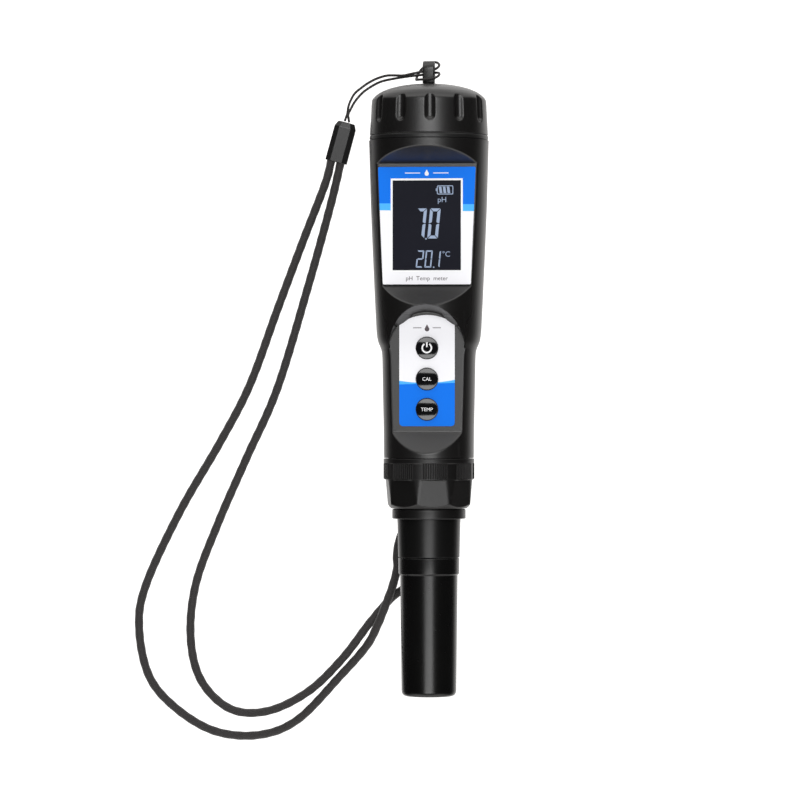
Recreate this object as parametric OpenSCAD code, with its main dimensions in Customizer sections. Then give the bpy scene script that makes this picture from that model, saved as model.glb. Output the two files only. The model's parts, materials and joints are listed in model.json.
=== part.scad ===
// Pocket pH and temperature pen with a screw battery cap, a draw-out probe,
// a storage cap and a cord wrist lanyard. All lengths are in millimetres.
// The pen lies on its back: +Y runs along it to the battery cap, its display
// faces +Z, and z = 0 is the surface that it rests on.

/* [Pen] */
// Height of the pen's axis above the surface that it rests on
axis_z = 18.4; // [18.3:0.1:19]
// Wall thickness of the housing
wall = 1.8; // [1.6:0.1:1.9]
// Height of the display's flat above the axis
display_u = 9.45; // [9.3:0.05:9.6]
// Height of the keypad's flat above the axis
keypad_u = 8.5; // [8.4:0.05:8.6]

/* [Battery compartment] */
// Radius of the round battery chamber
chamber_r = 14; // [13.9:0.05:14.2]
// Outer radius of the neck that the battery cap screws on
neck_r = 15.4; // [15.3:0.05:15.5]
// Radius of the battery cap's bore
cap_bore_r = 15.6; // [15.55:0.05:15.7]
// Number of finger grooves round the battery cap
cap_grooves = 12; // [6:1:16]
// Cell diameter
cell_d = 10.5; // [10:0.1:10.5]
// Cell length
cell_len = 44.5; // [43:0.1:44.5]

/* [Keys] */
// Diameter of each key
key_d = 6.65; // [6:0.05:6.8]
// Distance that a key travels
key_travel = 0.6; // [0.4:0.05:0.6]

/* [Probe] */
// Radius of the probe's plug, which slides in the housing's spigot
plug_r = 8.9; // [8.85:0.01:8.94]
// Bore radius of the storage cap
storage_bore_r = 7.3; // [7.25:0.01:7.35]
// Number of flats round the coupling nut
nut_flats = 8; // [6:1:10]

/* [Lanyard] */
// Diameter of the lanyard's cord
strap_d = 2.7; // [2.5:0.1:2.7]
// Diameter of the thin string
string_d = 0.8; // [0.7:0.05:0.8]
// Length of the slip-over sleeve
sleeve_len = 12.7; // [12:0.1:13]

/* [Hidden] */

fine = 96;
small = 32;
big = 60;                     // larger than any section of the pen

// Stations along the pen
neck_top_y = 81;
shoulder_y = 72.4;
display_y = [28.2, 65];       // lower and upper edge of the display's flat
keypad_y = [-16.2, 9];        // lower and upper edge of the keypad's flat
chamber_end_y = -22;
spigot_y = [-32.5, -24.2];
cap_rim_y = 74.1;
nut_y = [-39.6, -24.4];
nut_turn = 10.2;

// Heights above the axis
deck_u = 7;                   // underside of the front cover
board_u = [1, 2.6];
key_y = [9.2, -0.2, -9.4];
lcd_y = 46.3;
cell_x = 5.6;
cell_u = -5.6;
cell_y = 31.2;

// Outer half profile of the housing as [radius, y]
housing_profile = [
    [0, 72.4], [18.25, 72.4], [17.72, 52.6], [17.12, 38], [16.5, 24.5],
    [16.2, 18.5], [16, 14.5], [15.75, 12.4], [15.35, 10.7], [14.75, 9.5],
    [14.4, 8.3], [14.22, 6.25], [14, -5.9], [13.78, -15.7], [13.72, -24.2], [0, -24.2]];

// Radius of the profile at a station y, between its points
function radius_at(y, profile = housing_profile) = lookup(-y,
    [for (p = profile) if (p[0] > 0) [-p[1], p[0]]]);

// Put a shape drawn round the z axis onto the pen's axis, with its z along +Y
module along_axis() translate([0, 0, axis_z]) rotate([-90, 0, 0]) children();

// Solid of revolution about the pen's axis from [radius, y] points
module turned(profile) along_axis() rotate_extrude($fn = fine) polygon(profile);

// Plain disc or ring about the pen's axis between two stations
module ring(r_out, r_in, y0, y1, fn = fine) along_axis() difference() {
    translate([0, 0, y0]) cylinder(r = r_out, h = y1 - y0, $fn = fn);
    if (r_in > 0) translate([0, 0, y0 - 1]) cylinder(r = r_in, h = y1 - y0 + 2, $fn = fn);
}

// Box between [x, y, u] corners, where u is the height above the pen's axis
module block(low, high) translate([low[0], low[1], low[2] + axis_z])
    cube([high[0] - low[0], high[1] - low[1], high[2] - low[2]]);

// Prism across the pen from [y, u] points
module across(points, width) translate([-width / 2, 0, axis_z])
    rotate([90, 0, 90]) linear_extrude(width) polygon(points);

// Upright cylinder standing on the height u0 above the axis
module post(r, x, y, u0, u1, fn = small) translate([x, y, axis_z + u0])
    cylinder(r = r, h = u1 - u0, $fn = fn);

// Cylinder that runs along the pen, off its axis
module rod(r, x, u, y0, y1, fn = small) along_axis()
    translate([x, -u, y0]) cylinder(r = r, h = y1 - y0, $fn = fn);

// O-ring about the pen's axis
module o_ring(r, section_r, y) along_axis() translate([0, 0, y])
    rotate_extrude($fn = fine) translate([r, 0]) circle(r = section_r, $fn = small);

// Display recess: a flat with a ramp up to the crown at each end
module display_cut() across([[18.36, 20], [28.2, display_u], [65, display_u], [71.19, 20]], big);

// Keypad recess: a flat with a ramp at its lower end, closed at its upper end
// by a leaning round wall
module keypad_cut() {
    across([[-28.6, 18.4], [-16.2, keypad_u], [9, keypad_u], [9, 20]], big);
    intersection() {
        translate([0, 10, axis_z + 15.5]) rotate([-16.4, 0, 0])
            translate([0, 0, -15]) cylinder(r = 11.65, h = 25, $fn = fine);
        block([-big / 2, -5, keypad_u], [big / 2, 26, 20]);
    }
}

// Plan of the front cover's plate, shrunk by gap on every side
module cover_plan(gap) polygon([
    [-14.2 + gap, 64.2 - gap], [14.2 - gap, 64.2 - gap], [12.9 - gap, 27],
    [8 - gap, 9], [8 - gap, -13.6 + gap], [-8 + gap, -13.6 + gap], [-8 + gap, 9], [-12.9 + gap, 27]]);

module cover_plate(gap, low, high) translate([0, 0, axis_z + low])
    linear_extrude(high - low) cover_plan(gap);

// Everything above the seam between the housing and the cover's bridge
module bridge_zone(gap) across([[8.9, keypad_u + gap], [28.3, 9 + gap], [28.3, 20], [8.9, 20]], big);

module chamber() turned([
    [0, 82], [chamber_r, 82], [chamber_r, 24], [radius_at(13.6) - wall, 13.6],
    [radius_at(8) - wall, 8], [radius_at(-15.7) - wall, -15.7],
    [radius_at(-22) - wall, chamber_end_y], [0, chamber_end_y]]);

module housing_shell() color([0.14, 0.13, 0.14]) difference() {
    union() {
        difference() {
            turned(housing_profile);
            display_cut();
            keypad_cut();
        }
        ring(neck_r, 0, shoulder_y - 1, neck_top_y);
        ring(11.4, 0, spigot_y[0], spigot_y[1] + 1);
        rear_pad();
    }
    difference() {
        chamber();
        block([-big / 2, -30, deck_u], [big / 2, 70.5, 20]);
        for (p = screw_spots) post(2, p[0], p[1], -20, board_u[0]);
    }
    for (p = screw_spots) post(0.9, p[0], p[1], -4, 2);
    cover_plate(0, deck_u, 20);
    bridge_zone(0);
    ring(9, 0, spigot_y[0] - 1, chamber_end_y + 1);
    block([-5.2, 18, -axis_z - 1], [5.2, 58, -axis_z + 0.35]);
}

// Flat-bottomed back of the housing, which the pen rests on
module rear_pad() intersection() {
    across([[-6, -10], [-3, -axis_z], [66, -axis_z], [70, -10]], 15);
    along_axis() translate([0, 0, -8]) linear_extrude(80)
        polygon([[-7.4, 10], [7.4, 10], [6, axis_z], [-6, axis_z]]);
    difference() {
        block([-10, -8, -axis_z], [10, 72, 0]);
        turned([[0, 73], [17.4, 73], [17.4, 60], [radius_at(24) - 1, 24], [13.2, 8],
            [12.6, -8], [0, -8]]);
    }
}

module front_cover() color([0.16, 0.15, 0.16]) difference() {
    union() {
        intersection() {
            turned(housing_profile);
            bridge_zone(0);
        }
        intersection() {
            turned(housing_profile);
            cover_plate(0.1, deck_u, 20);
        }
    }
    display_cut();
    keypad_cut();
    block([-10.6, lcd_y - 14, deck_u - 1], [10.6, lcd_y + 14, 12]);
    for (y = key_y) post(key_d / 2 + 0.15, 0, y, deck_u - 1, 12);
}

module display_lens() color([0.05, 0.47, 0.95]) translate([0, 0, axis_z + display_u])
    linear_extrude(0.6) polygon([[-14.8, 64], [14.8, 64], [13.35, 28.4], [-13.35, 28.4]]);

// Half angle of the label's top arc, from its width and radius
label_w = 16.85;
label_arc_r = 14.1;
label_top_y = 19.2;
label_foot_y = -14.5;
function label_arc(steps = 12) = [for (i = [0:steps])
    let (a = asin(label_w / 2 / label_arc_r) * (1 - 2 * i / steps))
    [label_arc_r * sin(a), label_top_y - label_arc_r * (1 - cos(a))]];

module keypad_label() color([0.93, 0.94, 0.96]) difference() {
    translate([0, 0, axis_z + keypad_u]) linear_extrude(0.3)
        polygon(concat(label_arc(), [[-label_w / 2, label_foot_y], [label_w / 2, label_foot_y]]));
    for (y = key_y) post(key_d / 2 + 0.15, 0, y, keypad_u - 1, keypad_u + 1);
}

// Display stack, from the window down to the board
module lcd_gasket() color([0.1, 0.1, 0.1]) difference() {
    block([-12, lcd_y - 16.5, 6.4], [12, lcd_y + 16.5, deck_u]);
    block([-10.6, lcd_y - 14, 6], [10.6, lcd_y + 14, 8]);
}
module lcd_glass() color([0.16, 0.17, 0.22])
    block([-12, lcd_y - 17.5, 4.4], [12, lcd_y + 17.5, 6.4]);
module backlight() color([0.92, 0.95, 0.98])
    block([-12, lcd_y - 14.5, board_u[1]], [12, lcd_y + 14.5, 4.4]);
module zebra_strips() color([0.75, 0.45, 0.5]) for (side = [-1, 1])
    block([-11, lcd_y + side * 16 - 1.2, board_u[1]], [11, lcd_y + side * 16 + 1.2, 4.4]);

screw_spots = [[-8.6, 21], [8.6, 21], [-8.2, -14], [8.2, -14]];
module main_board() color([0.08, 0.35, 0.18]) difference() {
    block([-11, -18, board_u[0]], [11, 65, board_u[1]]);
    for (p = screw_spots) post(0.95, p[0], p[1], 0, 4);
}
module board_screws() color([0.7, 0.7, 0.72]) for (p = screw_spots) {
    post(1.6, p[0], p[1], board_u[1], 3.5);
    post(0.85, p[0], p[1], -3.6, board_u[1]);
}
module board_chips() color([0.1, 0.1, 0.11]) {
    block([-6.5, 17.5, board_u[1]], [0.5, 24.5, 3.8]);
    block([2, 18, board_u[1]], [5.5, 21, 3.6]);
    block([7.5, 8, board_u[1]], [10, 14, 3.4]);
    block([-10, 6, board_u[1]], [-7.5, 12, 3.4]);
}
module key_switches() color([0.85, 0.85, 0.8]) for (y = key_y)
    block([-3, y - 3, board_u[1]], [3, y + 3, 4.1]);

// Carrier with a bore for each of the two cells and a floor for the contacts
module battery_carrier() color([0.2, 0.2, 0.21]) difference() {
    intersection() {
        ring(chamber_r - 0.1, 0, 28, 73.5);
        block([-20, 20, -20], [20, 80, 0.6]);
    }
    for (side = [-1, 1]) {
        rod(5.35, side * cell_x, cell_u, 29, 80);
        block([side * cell_x - 1.7, 27, cell_u - 0.4], [side * cell_x + 1.7, 30, cell_u + 0.4]);
    }
}
module battery_cells() color([0.75, 0.72, 0.35]) for (side = [-1, 1]) {
    rod(cell_d / 2, side * cell_x, cell_u, cell_y, cell_y + cell_len - 1);
    rod(2.6, side * cell_x, cell_u, cell_y + cell_len - 1, cell_y + cell_len, 24);
}
module battery_terminals() color([0.8, 0.8, 0.78]) for (side = [-1, 1]) {
    rod(4.6, side * cell_x, cell_u, 29, 29.3);
    block([side * cell_x - 1.5, 27.4, cell_u - 0.2], [side * cell_x + 1.5, 29.1, cell_u + 0.2]);
    block([side * cell_x - 1.5, 27.4, cell_u - 0.2], [side * cell_x + 1.5, 27.7, board_u[0]]);
}

// Wire springs behind the cells, each a short helix
spring_turns = 2.2;
spring_wire_r = 0.3;
function spring_point(i, steps) = let (f = i / steps, a = 360 * spring_turns * f)
    [3.4 * cos(a), 3.4 * sin(a), spring_wire_r + f * 1.3];
module battery_springs() color([0.8, 0.8, 0.82]) for (side = [-1, 1])
    along_axis() translate([side * cell_x, -cell_u, 29.3])
        tube([for (i = [0:40]) spring_point(i, 40)], spring_wire_r, 6);

module cap_seal_ring() color([0.05, 0.05, 0.05]) turned([
    [neck_r + 0.03, 72.4], [18, 72.4], [18.15, 72.8], [18.2, 73.25], [18.15, 73.7], [18, 74.05],
    [neck_r + 0.03, 74.05]]);

// Socket that the probe's pins plug into, with a tail for each contact
pin_angles = [54:72:342];
module probe_socket() color([0.12, 0.12, 0.12]) difference() {
    union() {
        ring(8.95, 0, -24.6, -21.1);
        ring(6.8, 0, -22, -18.1);
    }
    for (a = pin_angles) rod(0.5, 4.5 * cos(a), 4.5 * sin(a), -25, -18.6, 16);
}
module socket_contacts() color([0.85, 0.7, 0.3]) for (a = pin_angles)
    rod(0.4, 4.5 * cos(a), 4.5 * sin(a), -18.1, -15, 16);

module rear_label() color([0.8, 0.8, 0.82]) block([-5, 18.2, -axis_z + 0.05], [5, 57.8, -axis_z + 0.35]);

// Plan of one finger groove, with a round foot, in [across, y]
groove_w = 3;
groove_foot_y = 79.3;
groove_turn = 4.8;
function groove_plan(steps = 8) = concat([[groove_w / 2, 90], [-groove_w / 2, 90]],
    [for (i = [0:steps]) let (a = 180 + 180 * i / steps)
        [groove_w / 2 * cos(a), groove_foot_y + groove_w / 2 * sin(a)]]);

module finger_groove() intersection() {
    translate([0, 0, axis_z]) linear_extrude(22) polygon(groove_plan());
    across([[77, 16.75], [88, 16.6], [88, 21], [77, 21]], 6);
}

module battery_cap() color([0.13, 0.12, 0.13]) difference() {
    turned([
        [cap_bore_r, cap_rim_y], [18, cap_rim_y], [17.75, 80], [17.6, 83.6], [17.4, 84.7],
        [16.95, 85.4], [16.1, 86.25], [14.8, 87.15], [12.8, 88.05], [10, 88.85], [7, 89.4],
        [4.5, 89.63], [3.2, 89.7],
        [1.56, 89.7], [1.56, 86], [2.6, 86], [2.6, 84], [14.6, 84], [cap_bore_r, 82]]);
    for (i = [0:cap_grooves - 1])
        translate([0, 0, axis_z]) rotate([0, groove_turn + i * 360 / cap_grooves, 0])
            translate([0, 0, -axis_z]) finger_groove();
}

// Lanyard eye: an arch over a hole that runs across the pen, on a stem that
// turns freely in the cap's crown
module lanyard_eye() color([0.12, 0.11, 0.12]) {
    difference() {
        across([[89.75, -3.1], [89.75, 3.1], [94, 3.05], [95.8, 2.2], [96.84, 0.9],
            [96.84, -0.9], [95.8, -2.2], [94, -3.05]], 3.6);
        across([[91, -1.55], [91, 1.55], [93.9, 1.5], [94.9, 1.1], [95.35, 0.4], [95.35, -0.4],
            [94.9, -1.1], [93.9, -1.5]], 5);
    }
    rod(1.5, 0, 0, 77.7, 90);
}
module eye_clip() color([0.7, 0.7, 0.7]) ring(3.2, 1.5, 83.2, 83.9);
module eye_o_ring() color([0.05, 0.05, 0.05]) o_ring(2.03, 0.5, 85);
module cap_contact_disc() color([0.08, 0.35, 0.18]) ring(13.4, 0, 76.5, 77.7);
module cap_contact_bar() color([0.85, 0.75, 0.4])
    block([-8.6, 75.9, cell_u - 2.5], [8.6, 76.5, cell_u + 2.5]);

// Keys: a domed cap, a flange below the cover and a stem down to its dome
module key_cap(y) color([0.04, 0.04, 0.05]) {
    translate([0, y, axis_z]) rotate_extrude($fn = 48) polygon([
        [0, 4.9], [1.2, 4.9], [1.2, 6.2], [3.9, 6.2], [3.9, 6.9], [key_d / 2, 6.9],
        [key_d / 2, 9], [key_d / 2 - 0.25, 9.35], [2.2, 9.6], [0, 9.7]]);
}
module key_dome(y) color([0.6, 0.6, 0.62]) translate([0, y, axis_z]) rotate_extrude($fn = 32)
    polygon([[0, 4.1], [1.9, 4.1], [1.5, 4.7], [0.9, 4.9], [0, 4.9]]);
module power_key() key_cap(key_y[0]);
module power_dome() key_dome(key_y[0]);
module cal_key() key_cap(key_y[1]);
module cal_dome() key_dome(key_y[1]);
module temp_key() key_cap(key_y[2]);
module temp_dome() key_dome(key_y[2]);

// Probe: its plug, flange, neck, barrel and the spigot for the storage cap
module probe_barrel() color([0.13, 0.12, 0.13]) difference() {
    turned([
        [0, -25], [plug_r - 0.4, -25], [plug_r, -25.4], [plug_r, -28.4], [7.95, -28.4],
        [7.95, -29.6], [plug_r, -29.6], [plug_r, -32.8], [11.4, -32.8], [11.4, -34.9],
        [10.3, -34.9], [10.3, -39.75], [9.65, -39.75], [9.65, -42.9], [9.35, -54.5],
        [7.15, -54.5], [7.15, -58.4], [6.3, -58.4], [6.3, -59.6], [7.15, -59.6],
        [7.15, -64], [0, -64]]);
    ring(6.05, 0, -70, -36);
    for (a = pin_angles) rod(0.42, 4.5 * cos(a), 4.5 * sin(a), -30, -24, 16);
}
module probe_collar() color([0.15, 0.14, 0.15]) turned([
    [9.68, -39.8], [10.9, -39.8], [11.2, -40.1], [11.2, -42.4], [10.9, -42.7], [9.68, -42.7]]);
module probe_o_ring() color([0.05, 0.05, 0.05]) o_ring(8.5, 0.48, -29);
module probe_pins() color([0.85, 0.7, 0.3]) for (a = pin_angles)
    rod(0.4, 4.5 * cos(a), 4.5 * sin(a), -30, -21, 16);
module electrode_body() color([0.25, 0.3, 0.45]) difference() {
    ring(6, 0, -76, -36.5);
    rod(2.7, 0, 0, -77, -45);
    rod(0.42, 0, 0, -46, -36, 16);
    rod(0.95, 4.4, 0, -77, -60);
    rod(1.25, -4.3, 0, -77, -70);
}
module probe_guard() color([0.15, 0.14, 0.15]) difference() {
    turned([[6.05, -64.2], [7, -64.2], [7, -66], [6.9, -87.4], [6.4, -88], [5.5, -88],
        [5.5, -76.2], [6.05, -76.2]]);
    for (a = [0:90:270]) along_axis() rotate([0, 0, a + 45]) translate([-2, 0, -86])
        cube([4, 10, 8.6]);
}
module glass_bulb() color([0.8, 0.88, 0.92, 0.5]) {
    rod(2.6, 0, 0, -79.4, -45.2);
    translate([0, -81.2, axis_z]) sphere(r = 3.2, $fn = 40);
}
module silver_wire() color([0.8, 0.8, 0.82]) rod(0.4, 0, 0, -45.2, -38, 16);
module reference_junction() color([0.9, 0.88, 0.82]) rod(1.2, -4.3, 0, -77, -70.2);
module temperature_sensor() color([0.75, 0.76, 0.78]) rod(0.9, 4.4, 0, -83, -60.2, 24);
module cap_o_ring() color([0.05, 0.05, 0.05]) o_ring(6.82, 0.46, -59);

// Coupling nut: a rim, a ribbed band and a tapered body with flats
module coupling_nut() color([0.13, 0.12, 0.13]) difference() {
    turned([
        [11.6, nut_y[1]], [13.75, nut_y[1]], [13.85, -24.7], [13.85, -25.7], [13.65, -25.8],
        [13.9, -25.9], [13.9, -30.5], [13.5, -30.7], [13.1, -38.2], [11.5, nut_y[0]],
        [10.5, nut_y[0]], [10.5, -35.1], [11.6, -35.1]]);
    for (i = [0:nut_flats - 1]) translate([0, 0, axis_z]) rotate([0, nut_turn + i * 360 / nut_flats, 0])
        translate([0, -30.7, 12.88]) rotate([5.4, 0, 0]) translate([-8, -12, 0]) cube([16, 12, 4]);
}

module storage_cap() color([0.1, 0.1, 0.1]) turned([
    [storage_bore_r, -54.65], [9.15, -54.65], [9.3, -54.9], [9.3, -59.4], [9.05, -59.7],
    [8.78, -59.9], [8.38, -95], [8, -96], [7.2, -96.65], [6.1, -96.84], [0, -96.84],
    [0, -94.3], [5.9, -94.3], [6.7, -93.6], [storage_bore_r, -88.5]]);

// Lanyard. The strap is one cord folded into a loop, and both of its ends go
// into the sleeve. Each route lists points of the cord's centre line.
sleeve_foot = [-29.9, 67];
sleeve_turn = 15.2;
sleeve_t = 3.8;
strap_route = [
    [-31.4, 67.5, 1.9], [-33.4, 60.1, 1.4], [-40.2, 42.6, 1.35], [-48.1, 21.6, 1.35],
    [-56.8, -2, 1.35], [-66.1, -19.8, 1.35], [-78.5, -41.1, 1.35], [-89.1, -63.8, 1.35],
    [-91.3, -77.3, 1.35], [-88.1, -92.4, 1.35], [-79.5, -102.4, 1.35],
    [-67.4, -109.3, 1.35], [-53.7, -110.3, 1.35], [-41.7, -105.4, 1.35],
    [-28.6, -91.9, 1.35], [-20.6, -82.8, 1.4], [-17.1, -76.5, 3], [-14.2, -69.5, 4.4],
    [-12.2, -63.8, 3], [-11, -58.5, 1.5], [-11, -53.5, 1.35], [-9.2, -47.4, 1.35],
    [-3.8, -43.4, 1.35], [2.2, -45, 1.35], [4.7, -50.8, 1.35], [2.4, -56.8, 1.35],
    [-4, -61.8, 1.35], [-11.9, -67, 1.35], [-19.1, -75, 1.35], [-28, -86.6, 1.35],
    [-38.6, -96.8, 1.35], [-51.2, -102.9, 1.35], [-62.8, -102.3, 1.35],
    [-71.9, -93.6, 1.35], [-75.2, -80.3, 1.35], [-73.6, -63.7, 1.35], [-66.7, -44.9, 1.35],
    [-57.8, -24.6, 1.35], [-48.2, -3, 1.35], [-38.6, 28.6, 1.35], [-31.6, 53.8, 1.4],
    [-28.5, 66.7, 1.9]];
string_route = [
    [-27.2, 79.7, 1.7], [-26.8, 80.8, 1.8], [-26.3, 82.1, 2.4], [-25.9, 83.9, 3.9],
    [-25.1, 85.6, 5.8], [-23.6, 87.7, 8.2], [-21.6, 89.1, 10.4], [-19, 90.6, 13],
    [-16.1, 91.8, 15.2], [-13.1, 92.5, 17], [-10.6, 92.5, 18.1], [-7.8, 92.4, 18.8],
    [-5.34, 92.87, 19], [-2.9, 93.34, 19], [-1.07, 93.63, 19], [0.91, 93.93, 18.9],
    [2.41, 94.57, 18.4], [3.08, 95.6, 17], [2.34, 96.52, 15], [0.9, 96.75, 14.1],
    [-0.64, 96.16, 14], [-2.17, 95.01, 14], [-3.2, 93.68, 14.6], [-3.85, 92.06, 15.8],
    [-3.87, 91.15, 18.2], [-3.2, 90.95, 20.8], [-1.96, 90.87, 22.5], [-0.35, 90.9, 22.9],
    [1.18, 91.07, 22.9], [2.45, 91.53, 22.4], [3.21, 92.24, 20.9], [3.16, 92.98, 19.2],
    [2.37, 93.27, 17.9], [0.81, 93.14, 17.3], [-1.18, 92.82, 17.3], [-3.31, 92.51, 17.5],
    [-5.46, 92.32, 17.4], [-7.9, 92, 17.3], [-10.9, 91.6, 16.4], [-14.1, 91.1, 14.8],
    [-16.4, 90.4, 13.2], [-19.1, 89.1, 11], [-21.3, 87.7, 8.9], [-23.6, 85.4, 6.6],
    [-25.1, 83.1, 5], [-25.9, 81.6, 4.1], [-25.9, 80.4, 2.9], [-25.8, 79.4, 2.2]];

function unit(v) = v / norm(v);
function route_at(p, i) = p[max(0, min(len(p) - 1, i))];

// Point a fraction t of the way from p[i] to p[i + 1], on a Catmull-Rom curve
function curve_point(p, i, t) = let (a = route_at(p, i - 1), b = p[i], c = route_at(p, i + 1),
    d = route_at(p, i + 2))
    0.5 * (2 * b + (c - a) * t + (2 * a - 5 * b + 4 * c - d) * t * t
        + (3 * b - a - 3 * c + d) * t * t * t);
function smooth_route(p, steps) = concat([for (i = [0:len(p) - 2]) for (k = [0:steps - 1])
    curve_point(p, i, k / steps)], [p[len(p) - 1]]);

// Round tube swept along points, as one polyhedron
function tangents(p) = [for (i = [0:len(p) - 1]) unit(route_at(p, i + 1) - route_at(p, i - 1))];
function first_normal(t) = unit(cross(t, abs(t[2]) < 0.8 ? [0, 0, 1] : [1, 0, 0]));
function normals(t) = [for (i = 0, n = first_normal(t[0]); i < len(t);
    i = i + 1, n = i < len(t) ? unit(n - (n * t[i]) * t[i]) : n) n];
module tube(p, r, sides = 8) {
    t = tangents(p);
    n = normals(t);
    rings = len(p);
    points = [for (i = [0:rings - 1]) for (j = [0:sides - 1])
        let (a = 360 * (j + 0.5) / sides) p[i] + r * (cos(a) * n[i] + sin(a) * cross(t[i], n[i]))];
    walls = [for (i = [0:rings - 2]) for (j = [0:sides - 1])
        let (a = i * sides + j, b = i * sides + (j + 1) % sides) each
            [[a, a + sides, b + sides], [a, b + sides, b]]];
    ends = [[for (j = [0:sides - 1]) j],
        [for (j = [0:sides - 1]) rings * sides - 1 - j]];
    polyhedron(points, concat(walls, ends), convexity = 6);
}

module lanyard_strap() color([0.2, 0.19, 0.19]) tube(smooth_route(strap_route, 2), strap_d / 2);
module lanyard_string() color([0.15, 0.14, 0.14]) tube(string_route, string_d / 2);
module lanyard_sleeve() color([0.09, 0.09, 0.09])
    translate([sleeve_foot[0], sleeve_foot[1], 0]) rotate([0, 0, -sleeve_turn]) intersection() {
        linear_extrude(sleeve_t) polygon([[-3.45, 0], [3.45, 0], [3.38, sleeve_len - 1.7],
            [2.6, sleeve_len], [-2.6, sleeve_len], [-3.38, sleeve_len - 1.7]]);
        translate([0, sleeve_len + 1, 0]) rotate([90, 0, 0]) linear_extrude(sleeve_len + 2)
            polygon([[-2.3, 0], [2.3, 0], [3.5, 1.2], [3.5, 2.6], [1.95, sleeve_t],
                [-1.95, sleeve_t], [-3.5, 2.6], [-3.5, 1.2]]);
    }

housing_shell();
front_cover();
display_lens();
keypad_label();
lcd_gasket();
lcd_glass();
backlight();
zebra_strips();
main_board();
board_screws();
board_chips();
key_switches();
battery_carrier();
battery_cells();
battery_terminals();
battery_springs();
cap_seal_ring();
probe_socket();
socket_contacts();
rear_label();
battery_cap();
lanyard_eye();
eye_clip();
eye_o_ring();
cap_contact_disc();
cap_contact_bar();
lanyard_string();
lanyard_sleeve();
lanyard_strap();
power_key();
power_dome();
cal_key();
cal_dome();
temp_key();
temp_dome();
probe_barrel();
probe_collar();
probe_o_ring();
probe_pins();
electrode_body();
probe_guard();
glass_bulb();
silver_wire();
reference_junction();
temperature_sensor();
cap_o_ring();
coupling_nut();
storage_cap();
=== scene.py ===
"""Looks for a pocket pH and temperature pen with a cord wrist lanyard.

The pen lies on its back: +Y runs along it to the battery cap, its display faces +Z and it rests on z = 0.
Sizes are in millimetres unless a name ends in _m. Finished meshes are in metres, in the pen's own frame.
A height called u is measured from the pen's axis.
"""

from __future__ import annotations

import json
import logging
import math
from dataclasses import dataclass
from enum import Enum
from typing import Callable, Sequence

import bmesh
import bpy
import numpy as np
from mathutils import Matrix, Vector

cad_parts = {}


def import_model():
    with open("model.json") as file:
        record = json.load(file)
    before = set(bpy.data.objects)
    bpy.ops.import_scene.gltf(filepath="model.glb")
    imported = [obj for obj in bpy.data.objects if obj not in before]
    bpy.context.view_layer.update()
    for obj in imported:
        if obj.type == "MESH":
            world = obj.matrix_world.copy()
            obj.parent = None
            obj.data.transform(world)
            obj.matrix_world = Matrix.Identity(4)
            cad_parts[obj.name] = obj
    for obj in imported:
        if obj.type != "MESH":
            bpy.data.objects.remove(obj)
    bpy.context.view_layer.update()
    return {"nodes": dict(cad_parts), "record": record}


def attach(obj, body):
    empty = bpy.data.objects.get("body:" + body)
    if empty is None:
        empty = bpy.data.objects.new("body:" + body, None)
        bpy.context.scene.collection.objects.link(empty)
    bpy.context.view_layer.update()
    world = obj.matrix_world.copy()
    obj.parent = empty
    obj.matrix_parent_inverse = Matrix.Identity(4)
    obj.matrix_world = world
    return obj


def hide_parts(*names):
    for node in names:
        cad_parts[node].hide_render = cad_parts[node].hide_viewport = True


LOG = logging.getLogger("ph_pen")
MM = 0.001
AXIS_Z = 18.4
Color = tuple[float, float, float]
Outline = list[tuple[float, float]]


def linear(red: float, green: float, blue: float) -> Color:
    """Turn a display colour, 0 to 255, into linear light."""

    def one(value: float) -> float:
        """Convert one channel."""
        share = value / 255
        return share / 12.92 if share <= 0.04045 else ((share + 0.055) / 1.055) ** 2.4

    return one(red), one(green), one(blue)


# ---------------------------------------------------------------- node trees


class Tree:
    """Short calls that add and join the nodes of one tree."""

    def __init__(self, tree: bpy.types.NodeTree) -> None:
        """Keep the tree that nodes are added to."""
        self.tree = tree

    def add(self, kind: str, inputs: dict | None = None, **settings: object) -> bpy.types.Node:
        """Add a node.

        Args:
            kind: The node's type name.
            inputs: Values or output sockets, by input name or number.
            settings: Properties of the node.

        Returns:
            The new node.
        """
        node = self.tree.nodes.new(kind)
        for key, value in settings.items():
            setattr(node, key, value)
        for key, value in (inputs or {}).items():
            socket = node.inputs[key]
            if isinstance(value, bpy.types.NodeSocket):
                self.tree.links.new(value, socket)
            else:
                socket.default_value = value
        return node

    def math(self, operation: str, *values: object) -> bpy.types.NodeSocket:
        """Add a math node and return its result."""
        node = self.add("ShaderNodeMath", dict(enumerate(values)), operation=operation)
        return node.outputs[0]


class Grain(Enum):
    """Fine relief of a surface."""

    SMOOTH = "smooth"
    SPARK = "spark"
    BRUSHED = "brushed"
    WEAVE = "weave"


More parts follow.
